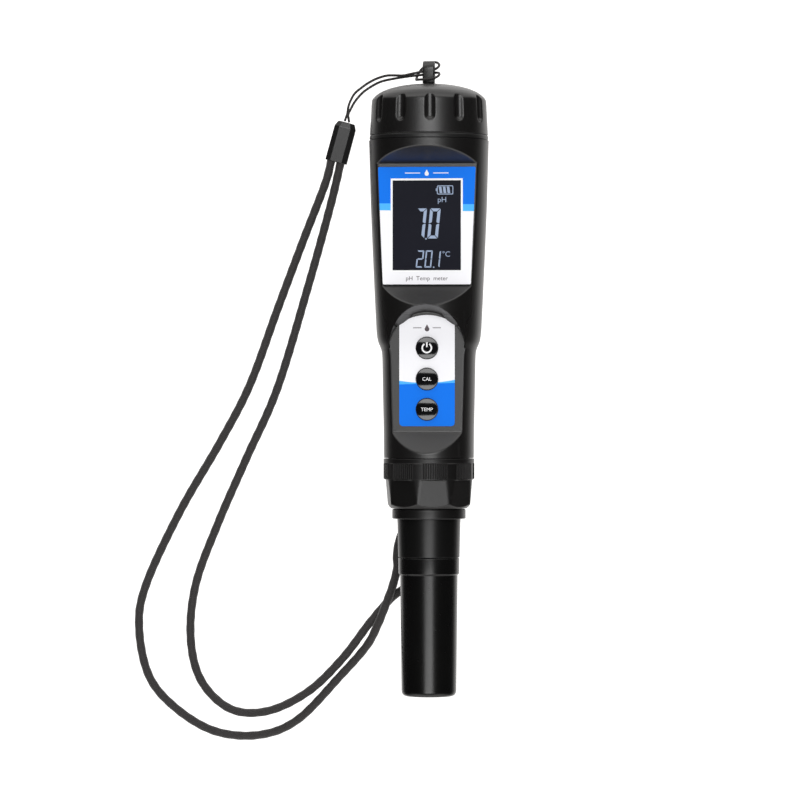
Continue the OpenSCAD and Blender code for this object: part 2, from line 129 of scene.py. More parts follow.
@dataclass(frozen=True)
class Finish:
    """One surface finish, which becomes one material."""

    name: str
    color: Color
    roughness: float = 0.4
    metallic: float = 0.0
    specular: float = 0.5
    coat: float = 0.0
    coat_roughness: float = 0.05
    transmission: float = 0.0
    ior: float = 1.5
    sheen: float = 0.0
    emission: float = 0.0
    grain: Grain = Grain.SPARK
    grain_mm: float = 0.3
    relief_mm: float = 0.012
    variation: float = 0.12
    # Strength of the painted highlight that makes sharp edges paler.
    edge_highlight: float = 0.25

    def material(self) -> bpy.types.Material:
        """Return the finish's material, which is built once."""
        known = f"look_{self.name}"
        if known in bpy.data.materials:
            return bpy.data.materials[known]
        made = bpy.data.materials.new(known)
        made.use_nodes = True
        made.node_tree.nodes.clear()
        tree = Tree(made.node_tree)
        shader = tree.add("ShaderNodeBsdfPrincipled", {
            "Metallic": self.metallic, "Specular IOR Level": self.specular, "Coat Weight": self.coat,
            "Coat Roughness": self.coat_roughness,
            "Transmission Weight": self.transmission, "IOR": self.ior, "Sheen Weight": self.sheen,
            "Emission Color": (*self.color, 1), "Emission Strength": self.emission,
        })
        self.dress(tree, shader)
        tree.add("ShaderNodeOutputMaterial", {"Surface": shader.outputs[0]})
        made.diffuse_color = (*self.color, 1)
        return made

    def place(self, tree: Tree) -> bpy.types.NodeSocket:
        """Return the coordinates that the pattern follows."""
        if self.grain is Grain.WEAVE:
            return tree.add("ShaderNodeUVMap", uv_map="cord").outputs["UV"]
        return tree.add("ShaderNodeTexCoord").outputs["Object"]

    def base_color(self, tree: Tree, where: bpy.types.NodeSocket) -> bpy.types.NodeSocket:
        """Return the colour, with broad soft variation and a painted highlight that makes sharp edges paler.
        """
        cloud = tree.add("ShaderNodeTexNoise", {"Vector": where, "Scale": self.cloud_scale(), "Detail": 3.0})
        low = tuple(c * (1 - self.variation) for c in self.color)
        high = tuple(min(1.0, c * (1 + self.variation) + 0.0015) for c in self.color)
        ramp = tree.add("ShaderNodeMix", {0: cloud.outputs[0], 6: (*low, 1), 7: (*high, 1)}, data_type="RGBA")
        if self.edge_highlight <= 0:
            return ramp.outputs[2]
        # Painted highlight: edges that pointiness finds sharp are mixed toward a paler colour, standing in
        # for light caught on the edges.
        edge = tree.add("ShaderNodeNewGeometry").outputs["Pointiness"]
        highlight_share = tree.add("ShaderNodeMapRange", {0: edge, 1: 0.52, 2: 0.62, 3: 0.0, 4: self.edge_highlight})
        highlight_tint = tuple(min(1.0, c * 1.6 + 0.012) for c in self.color)
        mixed = tree.add("ShaderNodeMix", {0: highlight_share.outputs[0], 6: ramp.outputs[2], 7: (*highlight_tint, 1)},
                         data_type="RGBA")
        return mixed.outputs[2]

    def cloud_scale(self) -> float:
        """Return the scale of the broad variation."""
        return 6.0 if self.grain is Grain.WEAVE else 90.0

    def relief(self, tree: Tree, where: bpy.types.NodeSocket) -> bpy.types.NodeSocket:
        """Return the height of the fine relief, from 0 to 1."""
        scale = 1 / (self.grain_mm * MM)
        if self.grain is Grain.BRUSHED:
            where = tree.add("ShaderNodeMapping", {"Vector": where, "Scale": (1, 0.06, 1)}).outputs[0]
        if self.grain is Grain.WEAVE:
            where = tree.add("ShaderNodeMapping", {"Vector": where, "Rotation": (0, 0, 0.6),
                                                  "Scale": (1, 0.25, 1)}).outputs[0]
            scale = 60.0
        noise = tree.add("ShaderNodeTexNoise", {"Vector": where, "Scale": scale, "Detail": 2.0,
                                                "Roughness": 0.55})
        return noise.outputs[0]

    def dress(self, tree: Tree, shader: bpy.types.Node) -> None:
        """Join colour, roughness and relief to the shader."""
        where = self.place(tree)
        height = self.relief(tree, where)
        rough = tree.add("ShaderNodeMapRange", {0: height, 3: self.roughness * 0.88,
                                                4: self.roughness * 1.12})
        links = tree.tree.links
        links.new(self.base_color(tree, where), shader.inputs["Base Color"])
        links.new(rough.outputs[0], shader.inputs["Roughness"])
        if self.grain is not Grain.SMOOTH:
            bump = tree.add("ShaderNodeBump", {"Height": height, "Strength": 0.5,
                                               "Distance": self.relief_mm * MM})
            links.new(bump.outputs[0], shader.inputs["Normal"])


@dataclass(frozen=True)
class BandedFilm(Finish):
    """A printed film whose colour changes in bands along the pen."""

    bands: tuple[tuple[float, float, float, Color], ...] = ()

    def base_color(self, tree: Tree, where: bpy.types.NodeSocket) -> bpy.types.NodeSocket:
        """Return the band that a point lies in: each starts at its own y, slope and hollow."""
        split = tree.add("ShaderNodeSeparateXYZ", {"Vector": where}).outputs
        square = tree.math("MULTIPLY", split[0], split[0])
        result: object = (*self.color, 1)
        for start, slope, hollow, color in self.bands:
            line = tree.math("ADD", tree.math("MULTIPLY", split[0], slope),
                             tree.math("MULTIPLY", square, hollow / MM))
            past = tree.math("GREATER_THAN", tree.math("SUBTRACT", split[1], line), start * MM)
            mixed = tree.add("ShaderNodeMix", {0: past, 6: result, 7: (*color, 1)}, data_type="RGBA")
            result = mixed.outputs[2]
        return result


BLUE = linear(0, 114, 232)
PALE_BLUE = linear(77, 178, 255)
WHITE = linear(242, 242, 246)
BODY = Finish("satin_body", linear(9, 8, 8), 0.37, specular=0.65, relief_mm=0.02)
COVER = Finish("satin_cover", linear(9, 8, 8), 0.37, specular=0.65, relief_mm=0.015)
CAP = Finish("satin_cap", linear(9, 8, 8), 0.37, specular=0.65, relief_mm=0.012)
# The nut gets a stronger painted highlight on its edges and ribs.
NUT = Finish("satin_nut", linear(9, 8, 8), 0.38, specular=0.45, relief_mm=0.012, edge_highlight=0.4)
BARREL = Finish("satin_barrel", linear(7, 7, 7), 0.34, specular=0.33, relief_mm=0.01)
GLOSS_CAP = Finish("gloss_storage_cap", linear(6, 6, 6), 0.26, specular=0.4, relief_mm=0.003, grain_mm=1.2)
SEAL = Finish("seal_band", linear(14, 14, 14), 0.4, relief_mm=0.004)
KEY = Finish("gloss_key", linear(8, 8, 10), 0.1, grain=Grain.SMOOTH, edge_highlight=0)
SLEEVE = Finish("gloss_sleeve", linear(18, 18, 18), 0.35, relief_mm=0.003)
PANE = Finish("display_pane", linear(22, 23, 32), 0.3, specular=0.05, grain=Grain.SMOOTH, edge_highlight=0)
LIT = Finish("lit_segment", linear(152, 168, 194), 0.5, specular=0.1, grain=Grain.SMOOTH, edge_highlight=0)
PRINT_WHITE = Finish("print_white", linear(246, 247, 250), 0.5, specular=0.1, grain=Grain.SMOOTH, edge_highlight=0)
PRINT_GREY = Finish("print_grey", linear(92, 84, 88), 0.5, specular=0.1, grain=Grain.SMOOTH, edge_highlight=0)
STRAP = Finish("braided_strap", linear(34, 31, 31), 0.75, sheen=0.2, grain=Grain.WEAVE, relief_mm=0.05,
               variation=0.35, edge_highlight=0)
STRING = Finish("braided_string", linear(30, 27, 27), 0.7, sheen=0.1, grain=Grain.WEAVE, relief_mm=0.02,
                variation=0.3, edge_highlight=0)
OVERLAY = BandedFilm("printed_overlay", WHITE, 0.45, specular=0.1, relief_mm=0.003, edge_highlight=0,
                     bands=((50.7, -0.012, 0.0, PALE_BLUE), (52.8, -0.012, 0.0, BLUE)))
KEY_FILM = BandedFilm("printed_keypad", BLUE, 0.45, specular=0.1, relief_mm=0.004, edge_highlight=0,
                      bands=((-1.6, 0.027, 0.0, PALE_BLUE), (-1.35, 0.016, 0.011, WHITE)))
CAD_FINISHES: dict[str, Finish] = {
    "gasket_foam": Finish("gasket_foam", linear(20, 20, 20), 0.9, relief_mm=0.1),
    "lcd_cell": Finish("lcd_cell", linear(30, 31, 42), 0.1, coat=0.5, grain=Grain.SMOOTH),
    "light_guide": Finish("light_guide", linear(226, 234, 242), 0.2, transmission=0.4, relief_mm=0.002),
    "zebra_rubber": Finish("zebra_rubber", linear(196, 120, 132), 0.6),
    "board_green": Finish("board_mask", linear(18, 92, 50), 0.3, coat=0.4, relief_mm=0.01, grain_mm=1.5),
    "chip_black": Finish("moulded_epoxy", linear(24, 24, 26), 0.6),
    "switch_body": Finish("moulded_nylon", linear(205, 205, 196), 0.5),
    "steel": Finish("plated_steel", linear(190, 190, 194), 0.28, metallic=1, grain=Grain.BRUSHED),
    "carrier_grey": Finish("carrier_plastic", linear(48, 48, 50), 0.5, relief_mm=0.02),
    "cell_jacket": Finish("cell_jacket", linear(188, 150, 62), 0.3, metallic=0.6, grain=Grain.BRUSHED),
    "spring_steel": Finish("spring_steel", linear(206, 206, 210), 0.2, metallic=1, grain=Grain.BRUSHED),
    "seal_rubber": SEAL,
    "gold_contact": Finish("gold_contact", linear(226, 186, 100), 0.22, metallic=1, grain=Grain.BRUSHED),
    "label_film": Finish("label_film", linear(196, 197, 200), 0.38, metallic=0.5, grain=Grain.BRUSHED),
    "cap_black": CAP,
    "probe_black": BARREL,
    "electrode_blue": Finish("electrode_body", linear(44, 66, 118), 0.25, coat=0.3, relief_mm=0.004),
    "electrode_glass": Finish("electrode_glass", linear(225, 238, 240), 0.02, transmission=0.95, ior=1.48,
                              grain=Grain.SMOOTH, edge_highlight=0, variation=0.02),
    "junction_ceramic": Finish("junction_ceramic", linear(226, 220, 206), 0.8, relief_mm=0.08),
}


# -------------------------------------------------------------- mesh helpers


def obj_from(name: str, points: np.ndarray, faces: Sequence[Sequence[int]], finish: Finish,
             sharp_deg: float = 40, merge: bool = True) -> bpy.types.Object:
    """Make a closed object from points in millimetres.

    Args:
        name: The piece's name.
        points: Corner points, one row each.
        faces: Corner numbers of each face.
        finish: The surface finish.
        sharp_deg: Edges that turn more than this are shown sharp.
        merge: Whether to join corners that coincide and turn the faces outwards.

    Returns:
        The new object, at the origin.
    """
    mesh = bpy.data.meshes.new(name)
    mesh.from_pydata([tuple(p) for p in np.asarray(points, float) * MM], [], [list(f) for f in faces])
    if merge:
        work = bmesh.new()
        work.from_mesh(mesh)
        bmesh.ops.remove_doubles(work, verts=work.verts, dist=1e-6)
        bmesh.ops.dissolve_degenerate(work, edges=work.edges, dist=1e-7)
        bmesh.ops.recalc_face_normals(work, faces=work.faces)
        work.to_mesh(mesh)
        work.free()
    mesh.validate()
    mesh.shade_smooth()
    mesh.set_sharp_from_angle(angle=math.radians(sharp_deg))
    mesh.materials.append(finish.material())
    made = bpy.data.objects.new(name, mesh)
    bpy.context.scene.collection.objects.link(made)
    return made


def baked(piece: bpy.types.Object) -> bpy.types.Object:
    """Turn a piece's modifiers into plain mesh and remove them."""
    graph = bpy.context.evaluated_depsgraph_get()
    mesh = bpy.data.meshes.new_from_object(piece.evaluated_get(graph))
    piece.modifiers.clear()
    piece.data = mesh
    return piece


def bevelled(piece: bpy.types.Object, width: float, segments: int = 3,
             angle_deg: float = 30) -> bpy.types.Object:
    """Round a piece's edges by a width in millimetres."""
    bevel = piece.modifiers.new("edges", "BEVEL")
    bevel.width = width * MM
    bevel.segments = segments
    bevel.limit_method = "ANGLE"
    bevel.angle_limit = math.radians(angle_deg)
    bevel.harden_normals = True
    return baked(piece)


def filleted(points: Sequence[tuple[float, ...]], steps: int = 4) -> Outline:
    """Round the corners of a closed outline.

    Args:
        points: Corners as (a, b) or (a, b, fillet).
        steps: Points along each rounded corner.

    Returns:
        The outline with its corners rounded.
    """
    made: Outline = []
    for i, corner in enumerate(points):
        here = np.array(corner[:2], float)
        fillet = corner[2] if len(corner) > 2 else 0.0
        back = np.array(points[i - 1][:2], float) - here
        on = np.array(points[(i + 1) % len(points)][:2], float) - here
        size = min(fillet, 0.48 * np.linalg.norm(back), 0.48 * np.linalg.norm(on))
        if size <= 0:
            made.append((here[0], here[1]))
            continue
        start = here + back / np.linalg.norm(back) * size
        end = here + on / np.linalg.norm(on) * size
        for k in range(steps + 1):
            t = k / steps
            point = (1 - t) ** 2 * start + 2 * t * (1 - t) * here + t * t * end
            made.append((point[0], point[1]))
    return made


def spaced(outline: Outline, step: float) -> Outline:
    """Add points to a closed outline so that none of its sides is longer than step."""
    made: Outline = []
    for i, here in enumerate(outline):
        on = outline[(i + 1) % len(outline)]
        count = max(1, math.ceil(math.dist(here, on) / step))
        made += [(here[0] + (on[0] - here[0]) * k / count, here[1] + (on[1] - here[1]) * k / count)
                 for k in range(count)]
    return made


def revolved(name: str, outline: Outline, finish: Finish, sectors: int = 96,
             shape: Callable[[np.ndarray, np.ndarray, np.ndarray], np.ndarray] | None = None,
             sharp_deg: float = 40) -> bpy.types.Object:
    """Turn a closed outline of (radius, y) points about the pen's axis.

    Args:
        name: The piece's name.
        outline: The closed outline.
        finish: The surface finish.
        sectors: Steps round the axis.
        shape: Changes the radius, given the angle from +Z, the radius and y.
        sharp_deg: Edges that turn more than this are shown sharp.

    Returns:
        The piece.
    """
    radius, along = (np.array(c, float)[:, None] for c in zip(*outline))
    angle = np.linspace(0, 2 * math.pi, sectors, endpoint=False)[None, :]
    reach = radius + 0 * angle
    if shape:
        reach = shape(angle, reach, along + 0 * angle)
    points = np.stack([reach * np.sin(angle), along + 0 * angle, AXIS_Z + reach * np.cos(angle)], -1)
    rows = len(outline)
    faces = [(i * sectors + j, ((i + 1) % rows) * sectors + j, ((i + 1) % rows) * sectors + (j + 1) % sectors,
              i * sectors + (j + 1) % sectors) for i in range(rows) for j in range(sectors)]
    return obj_from(name, points.reshape(-1, 3), faces, finish, sharp_deg)


def prism(name: str, outlines: Sequence[Outline], low: float, high: float,
          finish: Finish) -> bpy.types.Object:
    """Make flat-topped solids between two heights above the pen's axis from closed (x, y) outlines."""
    points: list[tuple[float, float, float]] = []
    faces: list[list[int]] = []
    for outline in outlines:
        first, count = len(points), len(outline)
        points += [(x, y, AXIS_Z + low) for x, y in outline] + [(x, y, AXIS_Z + high) for x, y in outline]
        faces.append([first + i for i in reversed(range(count))])
        faces.append([first + count + i for i in range(count)])
        faces += [[first + i, first + (i + 1) % count, first + count + (i + 1) % count, first + count + i]
                  for i in range(count)]
    return obj_from(name, np.array(points), faces, finish, 30)


def frame_prism(name: str, outer: Outline, inner: Outline, low: float, high: float,
                finish: Finish) -> bpy.types.Object:
    """Make a flat frame between an outer and an inner outline with the same number of points."""
    count = len(outer)
    points = [(x, y, AXIS_Z + u) for u in (low, high) for ring in (outer, inner) for x, y in ring]
    faces = []
    for i in range(count):
        j = (i + 1) % count
        faces += [(i, j, 2 * count + j, 2 * count + i), (count + j, count + i, 3 * count + i, 3 * count + j),
                  (j, i, count + i, count + j), (2 * count + i, 2 * count + j, 3 * count + j, 3 * count + i)]
    return obj_from(name, np.array(points), faces, finish, 30)


def joined(name: str, parts: Sequence[bpy.types.Object]) -> bpy.types.Object:
    """Join several objects into the first one, under a new name."""
    work = bmesh.new()
    for part in parts:
        work.from_mesh(part.data)
    mesh = bpy.data.meshes.new(name)
    work.to_mesh(mesh)
    work.free()
    mesh.materials.append(parts[0].data.materials[0])
    mesh.shade_smooth()
    mesh.set_sharp_from_angle(angle=math.radians(35))
    made = bpy.data.objects.new(name, mesh)
    bpy.context.scene.collection.objects.link(made)
    for part in parts:
        bpy.data.objects.remove(part)
    return made


def lettering(name: str, words: str, height: float, x: float, y: float, u: float, finish: Finish,
              thick: float = 0.04, lean: float = 0.0) -> bpy.types.Object:
    """Make raised lettering, centred on (x, y) and lying at a height above the pen's axis.

    Args:
        name: The piece's name.
        words: The characters.
        height: Height of a capital letter.
        x: Middle of the line.
        y: Middle of the capitals.
        u: Height of the surface that it is printed on.
        finish: The surface finish.
        thick: Thickness of the print.
        lean: Slant of the letters.

    Returns:
        The lettering.
    """
    curve = bpy.data.curves.new(name, "FONT")
    curve.body = words
    curve.size = height / 0.7
    curve.shear = lean
    curve.align_x = "CENTER"
    curve.extrude = thick / 2
    curve.resolution_u = 4
    source = bpy.data.objects.new(name, curve)
    bpy.context.scene.collection.objects.link(source)
    graph = bpy.context.evaluated_depsgraph_get()
    mesh = bpy.data.meshes.new_from_object(source.evaluated_get(graph))
    bpy.data.objects.remove(source)
    mesh.transform(Matrix.Scale(MM, 4) @ Matrix.Translation((x, y - height / 2, AXIS_Z + u + thick / 2)))
    mesh.materials.clear()
    mesh.materials.append(finish.material())
    made = bpy.data.objects.new(name, mesh)
    bpy.context.scene.collection.objects.link(made)
    return made


def keep(piece: bpy.types.Object, body: str, slot: str, *nodes: str) -> bpy.types.Object:
    """Let a finished piece ride on a body and hide the CAD nodes that it stands for."""
    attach(piece, body)
    if nodes:
        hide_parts(*nodes)
    LOG.info("%s: %d faces on %s", piece.name, len(piece.data.polygons), body)
    return piece


# ------------------------------------------------------------ geometry nodes


def node_group(name: str, inputs: dict[str, tuple[str, object]]
               ) -> tuple[bpy.types.NodeTree, Tree, bpy.types.Node]:
    """Start a Geometry Nodes tree.

    Args:
        name: The tree's name.
        inputs: Socket type and default value, by input name.

    Returns:
        The tree, its helper and its input node.
    """
    group = bpy.data.node_groups.new(name, "GeometryNodeTree")
    group.interface.new_socket("Geometry", in_out="OUTPUT", socket_type="NodeSocketGeometry")
    for key, (kind, value) in inputs.items():
        socket = group.interface.new_socket(key, in_out="INPUT", socket_type=kind)
        if value is not None:
            socket.default_value = value
    tree = Tree(group)
    return group, tree, tree.add("NodeGroupInput")


def end_group(tree: Tree, geometry: bpy.types.NodeSocket, source: bpy.types.Node) -> None:
    """Place the geometry on the pen's axis, realize it, give it its material and end the tree."""
    placed = tree.add("GeometryNodeTransform", {"Geometry": geometry, "Translation": source.outputs["Place"],
                                                "Rotation": (-math.pi / 2, 0, 0)})
    real = tree.add("GeometryNodeRealizeInstances", {0: placed.outputs[0]})
    dressed = tree.add("GeometryNodeSetMaterial", {0: real.outputs[0],
                                                   "Material": source.outputs["Material"]})
    tree.add("NodeGroupOutput", {0: dressed.outputs[0]})


def grown(name: str, group: bpy.types.NodeTree, values: dict[str, object],
          finish: Finish) -> bpy.types.Object:
    """Run a Geometry Nodes tree with these inputs and return its result as a plain mesh piece."""
    holder = bpy.data.objects.new(name, bpy.data.meshes.new(name))
    bpy.context.scene.collection.objects.link(holder)
    modifier = holder.modifiers.new("grow", "NODES")
    modifier.node_group = group
    for item in group.interface.items_tree:
        if item.in_out == "INPUT" and item.name in values:
            modifier[item.identifier] = values[item.name]
        if item.in_out == "INPUT" and item.name == "Material":
            modifier[item.identifier] = finish.material()
    baked(holder)
    holder.data.shade_smooth()
    holder.data.set_sharp_from_angle(angle=math.radians(40))
    return holder


def rib_group() -> bpy.types.NodeTree:
    """Build the tree for patches of ribs round a band: round bars with their ends on a circle."""
    group, tree, source = node_group("rib_patches", {
        "Place": ("NodeSocketVector", (0, 0, 0)), "Radius": ("NodeSocketFloat", 0.01),
        "Patches": ("NodeSocketInt", 8), "Pitches": ("NodeSocketInt", 16), "Ribs": ("NodeSocketInt", 11),
        "Rib radius": ("NodeSocketFloat", 0.0002), "Rib length": ("NodeSocketFloat", 0.004),
        "Turn": ("NodeSocketFloat", 0.0), "Material": ("NodeSocketMaterial", None)})
    out = source.outputs
    count = tree.math("MULTIPLY", out["Patches"], out["Pitches"])
    ring = tree.add("GeometryNodeMeshCircle", {"Vertices": count, "Radius": out["Radius"]})
    order = tree.math("MODULO", tree.add("GeometryNodeInputIndex").outputs[0], out["Pitches"])
    chosen = tree.math("LESS_THAN", order, out["Ribs"])
    bar = tree.add("GeometryNodeMeshCylinder", {"Vertices": 8, "Radius": out["Rib radius"],
                                                "Depth": out["Rib length"]})
    ribs = tree.add("GeometryNodeInstanceOnPoints", {"Points": ring.outputs[0], "Selection": chosen,
                                                     "Instance": bar.outputs[0]})
    turn = tree.add("ShaderNodeCombineXYZ", {"Z": out["Turn"]})
    turned = tree.add("GeometryNodeTransform", {"Geometry": ribs.outputs[0], "Rotation": turn.outputs[0]})
    end_group(tree, turned.outputs[0], source)
    return group


def thread_group() -> bpy.types.NodeTree:
    """Build the tree for a screw thread: a round ridge swept along a helix."""
    group, tree, source = node_group("screw_thread", {
        "Place": ("NodeSocketVector", (0, 0, 0)), "Radius": ("NodeSocketFloat", 0.01),
        "Turns": ("NodeSocketFloat", 2.0), "Length": ("NodeSocketFloat", 0.006),
        "Ridge": ("NodeSocketFloat", 0.0005), "Material": ("NodeSocketMaterial", None)})
    out = source.outputs
    helix = tree.add("GeometryNodeCurveSpiral", {"Resolution": 72, "Rotations": out["Turns"],
                                                 "Start Radius": out["Radius"], "End Radius": out["Radius"],
                                                 "Height": out["Length"]})
    section = tree.add("GeometryNodeCurvePrimitiveCircle", {"Resolution": 8, "Radius": out["Ridge"]})
    swept = tree.add("GeometryNodeCurveToMesh", {
        "Curve": helix.outputs[0], "Profile Curve": section.outputs[0], "Fill Caps": True})
    end_group(tree, swept.outputs[0], source)
    return group


# ------------------------------------------------------------------- lanyard


@dataclass
class Lanyard:
    """The wrist lanyard: a folded braided strap, a slip-over sleeve and a thin string on the pen's eye."""

    strap_d: float = 2.7
    strap_length_m: float = 0.588
    string_d: float = 0.8
    string_length_m: float = 0.112
    sleeve_foot: tuple[float, float] = (-29.9, 67.0)
    sleeve_turn_deg: float = 15.2
    sleeve_thick: float = 3.8
    strap_route: tuple[tuple[float, float, float], ...] = (
        (-31.4, 67.5, 1.9), (-33.4, 60.1, 1.4), (-40.2, 42.6, 1.35), (-48.1, 21.6, 1.35),
        (-56.8, -2, 1.35), (-66.1, -19.8, 1.35), (-78.5, -41.1, 1.35), (-89.1, -63.8, 1.35),
        (-91.3, -77.3, 1.35), (-88.1, -92.4, 1.35), (-79.5, -102.4, 1.35), (-67.4, -109.3, 1.35),
        (-53.7, -110.3, 1.35), (-41.7, -105.4, 1.35), (-28.6, -91.9, 1.35), (-20.6, -82.8, 1.4),
        (-17.1, -76.5, 3), (-14.2, -69.5, 4.4), (-12.2, -63.8, 3), (-11, -58.5, 1.5),
        (-11, -53.5, 1.35), (-9.2, -47.4, 1.35), (-3.8, -43.4, 1.35), (2.2, -45, 1.35),
        (4.7, -50.8, 1.35), (2.4, -56.8, 1.35), (-4, -61.8, 1.35), (-11.9, -67, 1.35),
        (-19.1, -75, 1.35), (-28, -86.6, 1.35), (-38.6, -96.8, 1.35), (-51.2, -102.9, 1.35),
        (-62.8, -102.3, 1.35), (-71.9, -93.6, 1.35), (-75.2, -80.3, 1.35), (-73.6, -63.7, 1.35),
        (-66.7, -44.9, 1.35), (-57.8, -24.6, 1.35), (-48.2, -3, 1.35), (-38.6, 28.6, 1.35),
        (-31.6, 53.8, 1.4), (-28.5, 66.7, 1.9))
    string_route: tuple[tuple[float, float, float], ...] = (
        (-27.2, 79.7, 1.7), (-26.8, 80.8, 1.8), (-26.3, 82.1, 2.4), (-25.9, 83.9, 3.9),
        (-25.1, 85.6, 5.8), (-23.6, 87.7, 8.2), (-21.6, 89.1, 10.4), (-19, 90.6, 13),
        (-16.1, 91.8, 15.2), (-13.1, 92.5, 17), (-10.6, 92.5, 18.1), (-7.8, 92.4, 18.8),
        (-5.34, 92.87, 19), (-2.9, 93.34, 19), (-1.07, 93.63, 19), (0.91, 93.93, 18.9),
        (2.41, 94.57, 18.4), (3.08, 95.6, 17), (2.34, 96.52, 15), (0.9, 96.75, 14.1),
        (-0.64, 96.16, 14), (-2.17, 95.01, 14), (-3.2, 93.68, 14.6), (-3.85, 92.06, 15.8),
        (-3.87, 91.15, 18.2), (-3.2, 90.95, 20.8), (-1.96, 90.87, 22.5), (-0.35, 90.9, 22.9),
        (1.18, 91.07, 22.9), (2.45, 91.53, 22.4), (3.21, 92.24, 20.9), (3.16, 92.98, 19.2),
        (2.37, 93.27, 17.9), (0.81, 93.14, 17.3), (-1.18, 92.82, 17.3), (-3.31, 92.51, 17.5),
        (-5.46, 92.32, 17.4), (-7.9, 92, 17.3), (-10.9, 91.6, 16.4), (-14.1, 91.1, 14.8),
        (-16.4, 90.4, 13.2), (-19.1, 89.1, 11), (-21.3, 87.7, 8.9), (-23.6, 85.4, 6.6),
        (-25.1, 83.1, 5), (-25.9, 81.6, 4.1), (-25.9, 80.4, 2.9), (-25.8, 79.4, 2.2))

    @staticmethod
    def smooth_route(route: Sequence[Sequence[float]], step: float) -> np.ndarray:
        """Return points about step apart on the smooth curve through a route."""
        p = np.array(route, float)
        ends = np.vstack([p[:1], p, p[-1:]])
        made = []
        for i in range(len(p) - 1):
            a, b, c, d = ends[i:i + 4]
            count = max(1, round(float(np.linalg.norm(c - b)) / step))
            for t in np.arange(count) / count:
                made.append(0.5 * (2 * b + (c - a) * t + (2 * a - 5 * b + 4 * c - d) * t * t
                                   + (3 * b - a - 3 * c + d) * t ** 3))
        made.append(p[-1])
        return np.array(made)

    @staticmethod
    def braided(name: str, path: np.ndarray, radius: float, sides: int, plaits: int, pitch: float,
                lift: float, finish: Finish) -> bpy.types.Object:
        """Sweep a cord with the diamond relief of a braid along a path.

        Args:
            name: The piece's name.
            path: Ring centres.
            radius: Radius of the cord over its plaits.
            sides: Corners round the cord.
            plaits: Plaits that run round each way.
            pitch: Length along the cord in which a plait goes once round.
            lift: Height of the relief.
            finish: The surface finish.

        Returns:
            The cord, with a UV map that runs round and along it.
        """
        tangent = np.gradient(path, axis=0)
        tangent /= np.linalg.norm(tangent, axis=1)[:, None]
        normal = np.cross(tangent[0], (0, 0, 1.0))
        normals = []
        for t in tangent:
            normal = normal - normal @ t * t
            normal /= np.linalg.norm(normal)
            normals.append(normal)
        across = np.array(normals)
        up = np.cross(tangent, across)
        along = np.concatenate([[0], np.cumsum(np.linalg.norm(np.diff(path, axis=0), axis=1))])
        angle = 2 * math.pi * np.arange(sides) / sides
        left = plaits * angle[None, :] + 2 * math.pi * along[:, None] / pitch
        right = plaits * angle[None, :] - 2 * math.pi * along[:, None] / pitch
        relief = 0.5 * (1 + np.sin(left) * np.sin(right))
        reach = radius - lift * (1 - relief)
        points = (path[:, None, :] + reach[..., None] * (np.cos(angle)[None, :, None] * across[:, None, :]
                                                         + np.sin(angle)[None, :, None] * up[:, None, :]))
        rings = len(path)
        faces = [(i * sides + j, i * sides + (j + 1) % sides, (i + 1) * sides + (j + 1) % sides,
                  (i + 1) * sides + j) for i in range(rings - 1) for j in range(sides)]
        faces += [tuple(reversed(range(sides))), tuple((rings - 1) * sides + j for j in range(sides))]
        cord = obj_from(name, points.reshape(-1, 3), faces, finish, 80, merge=False)
        layer = cord.data.uv_layers.new(name="cord")
        corner = np.zeros(len(cord.data.loops), int)
        cord.data.loops.foreach_get("vertex_index", corner)
        round_share = (corner % sides) / sides
        uv = np.stack([round_share, along[corner // sides] / (2 * math.pi * radius)], -1)
        layer.data.foreach_set("uv", uv.astype(np.float32).ravel())
        return cord

    def sleeve(self) -> bpy.types.Object:
        """Build the slip-over sleeve: an eight-sided block that narrows at its string end."""
        section = [(-2.2, 0), (2.2, 0), (3.42, 1.25), (3.42, 2.5), (1.9, 3.78), (-1.9, 3.78), (-3.42, 2.5),
                   (-3.42, 1.25)]
        stations = [(0.02, 1.0, 1.0), (11.0, 0.985, 1.0), (12.66, 0.75, 0.8)]
        turn = math.radians(self.sleeve_turn_deg)
        points, sides = [], len(section)
        for along, wide, deep in stations:
            for across, up in section:
                x, z = across * wide, self.sleeve_thick / 2 + (up - self.sleeve_thick / 2) * deep
                points.append((self.sleeve_foot[0] + x * math.cos(turn) + along * math.sin(turn),
                               self.sleeve_foot[1] - x * math.sin(turn) + along * math.cos(turn), z))
        rings = len(stations)
        faces = [(i * sides + j, i * sides + (j + 1) % sides, (i + 1) * sides + (j + 1) % sides,
                  (i + 1) * sides + j) for i in range(rings - 1) for j in range(sides)]
        faces += [tuple(range(sides)), tuple((rings - 1) * sides + j for j in range(sides))]
        return bevelled(obj_from("slip_sleeve", np.array(points), faces, SLEEVE, 20), 0.22, 3, 8)

    def build(self) -> None:
        sleeve = keep(self.sleeve(), "cap_core", "sleeve_black", "lanyard_sleeve")
        path = self.smooth_route(self.strap_route, 0.42)
        strap = self.braided("wrist_strap", path, self.strap_d / 2, 28, 6, 8.0, 0.16, STRAP)
        keep(strap, "cap_core", "strap_cord", "lanyard_strap")
        path = self.smooth_route(self.string_route, 0.16)
        string = self.braided("eye_string", path, self.string_d / 2, 14, 3, 3.0, 0.05, STRING)
        keep(string, "cap_core", "string_cord", "lanyard_string")


# ------------------------------------------------------------------- housing


def soft_min(a: np.ndarray, b: np.ndarray, blend: float) -> np.ndarray:
    """Return the smaller of two heights, with a rounded change-over."""
    share = np.clip(0.5 + 0.5 * (b - a) / blend, 0, 1)
    return b + (a - b) * share - blend * share * (1 - share)


def soft_max(a: np.ndarray, b: np.ndarray, blend: float) -> np.ndarray:
    """Return the larger of two heights, with a rounded change-over."""
    return -soft_min(-a, -b, blend)


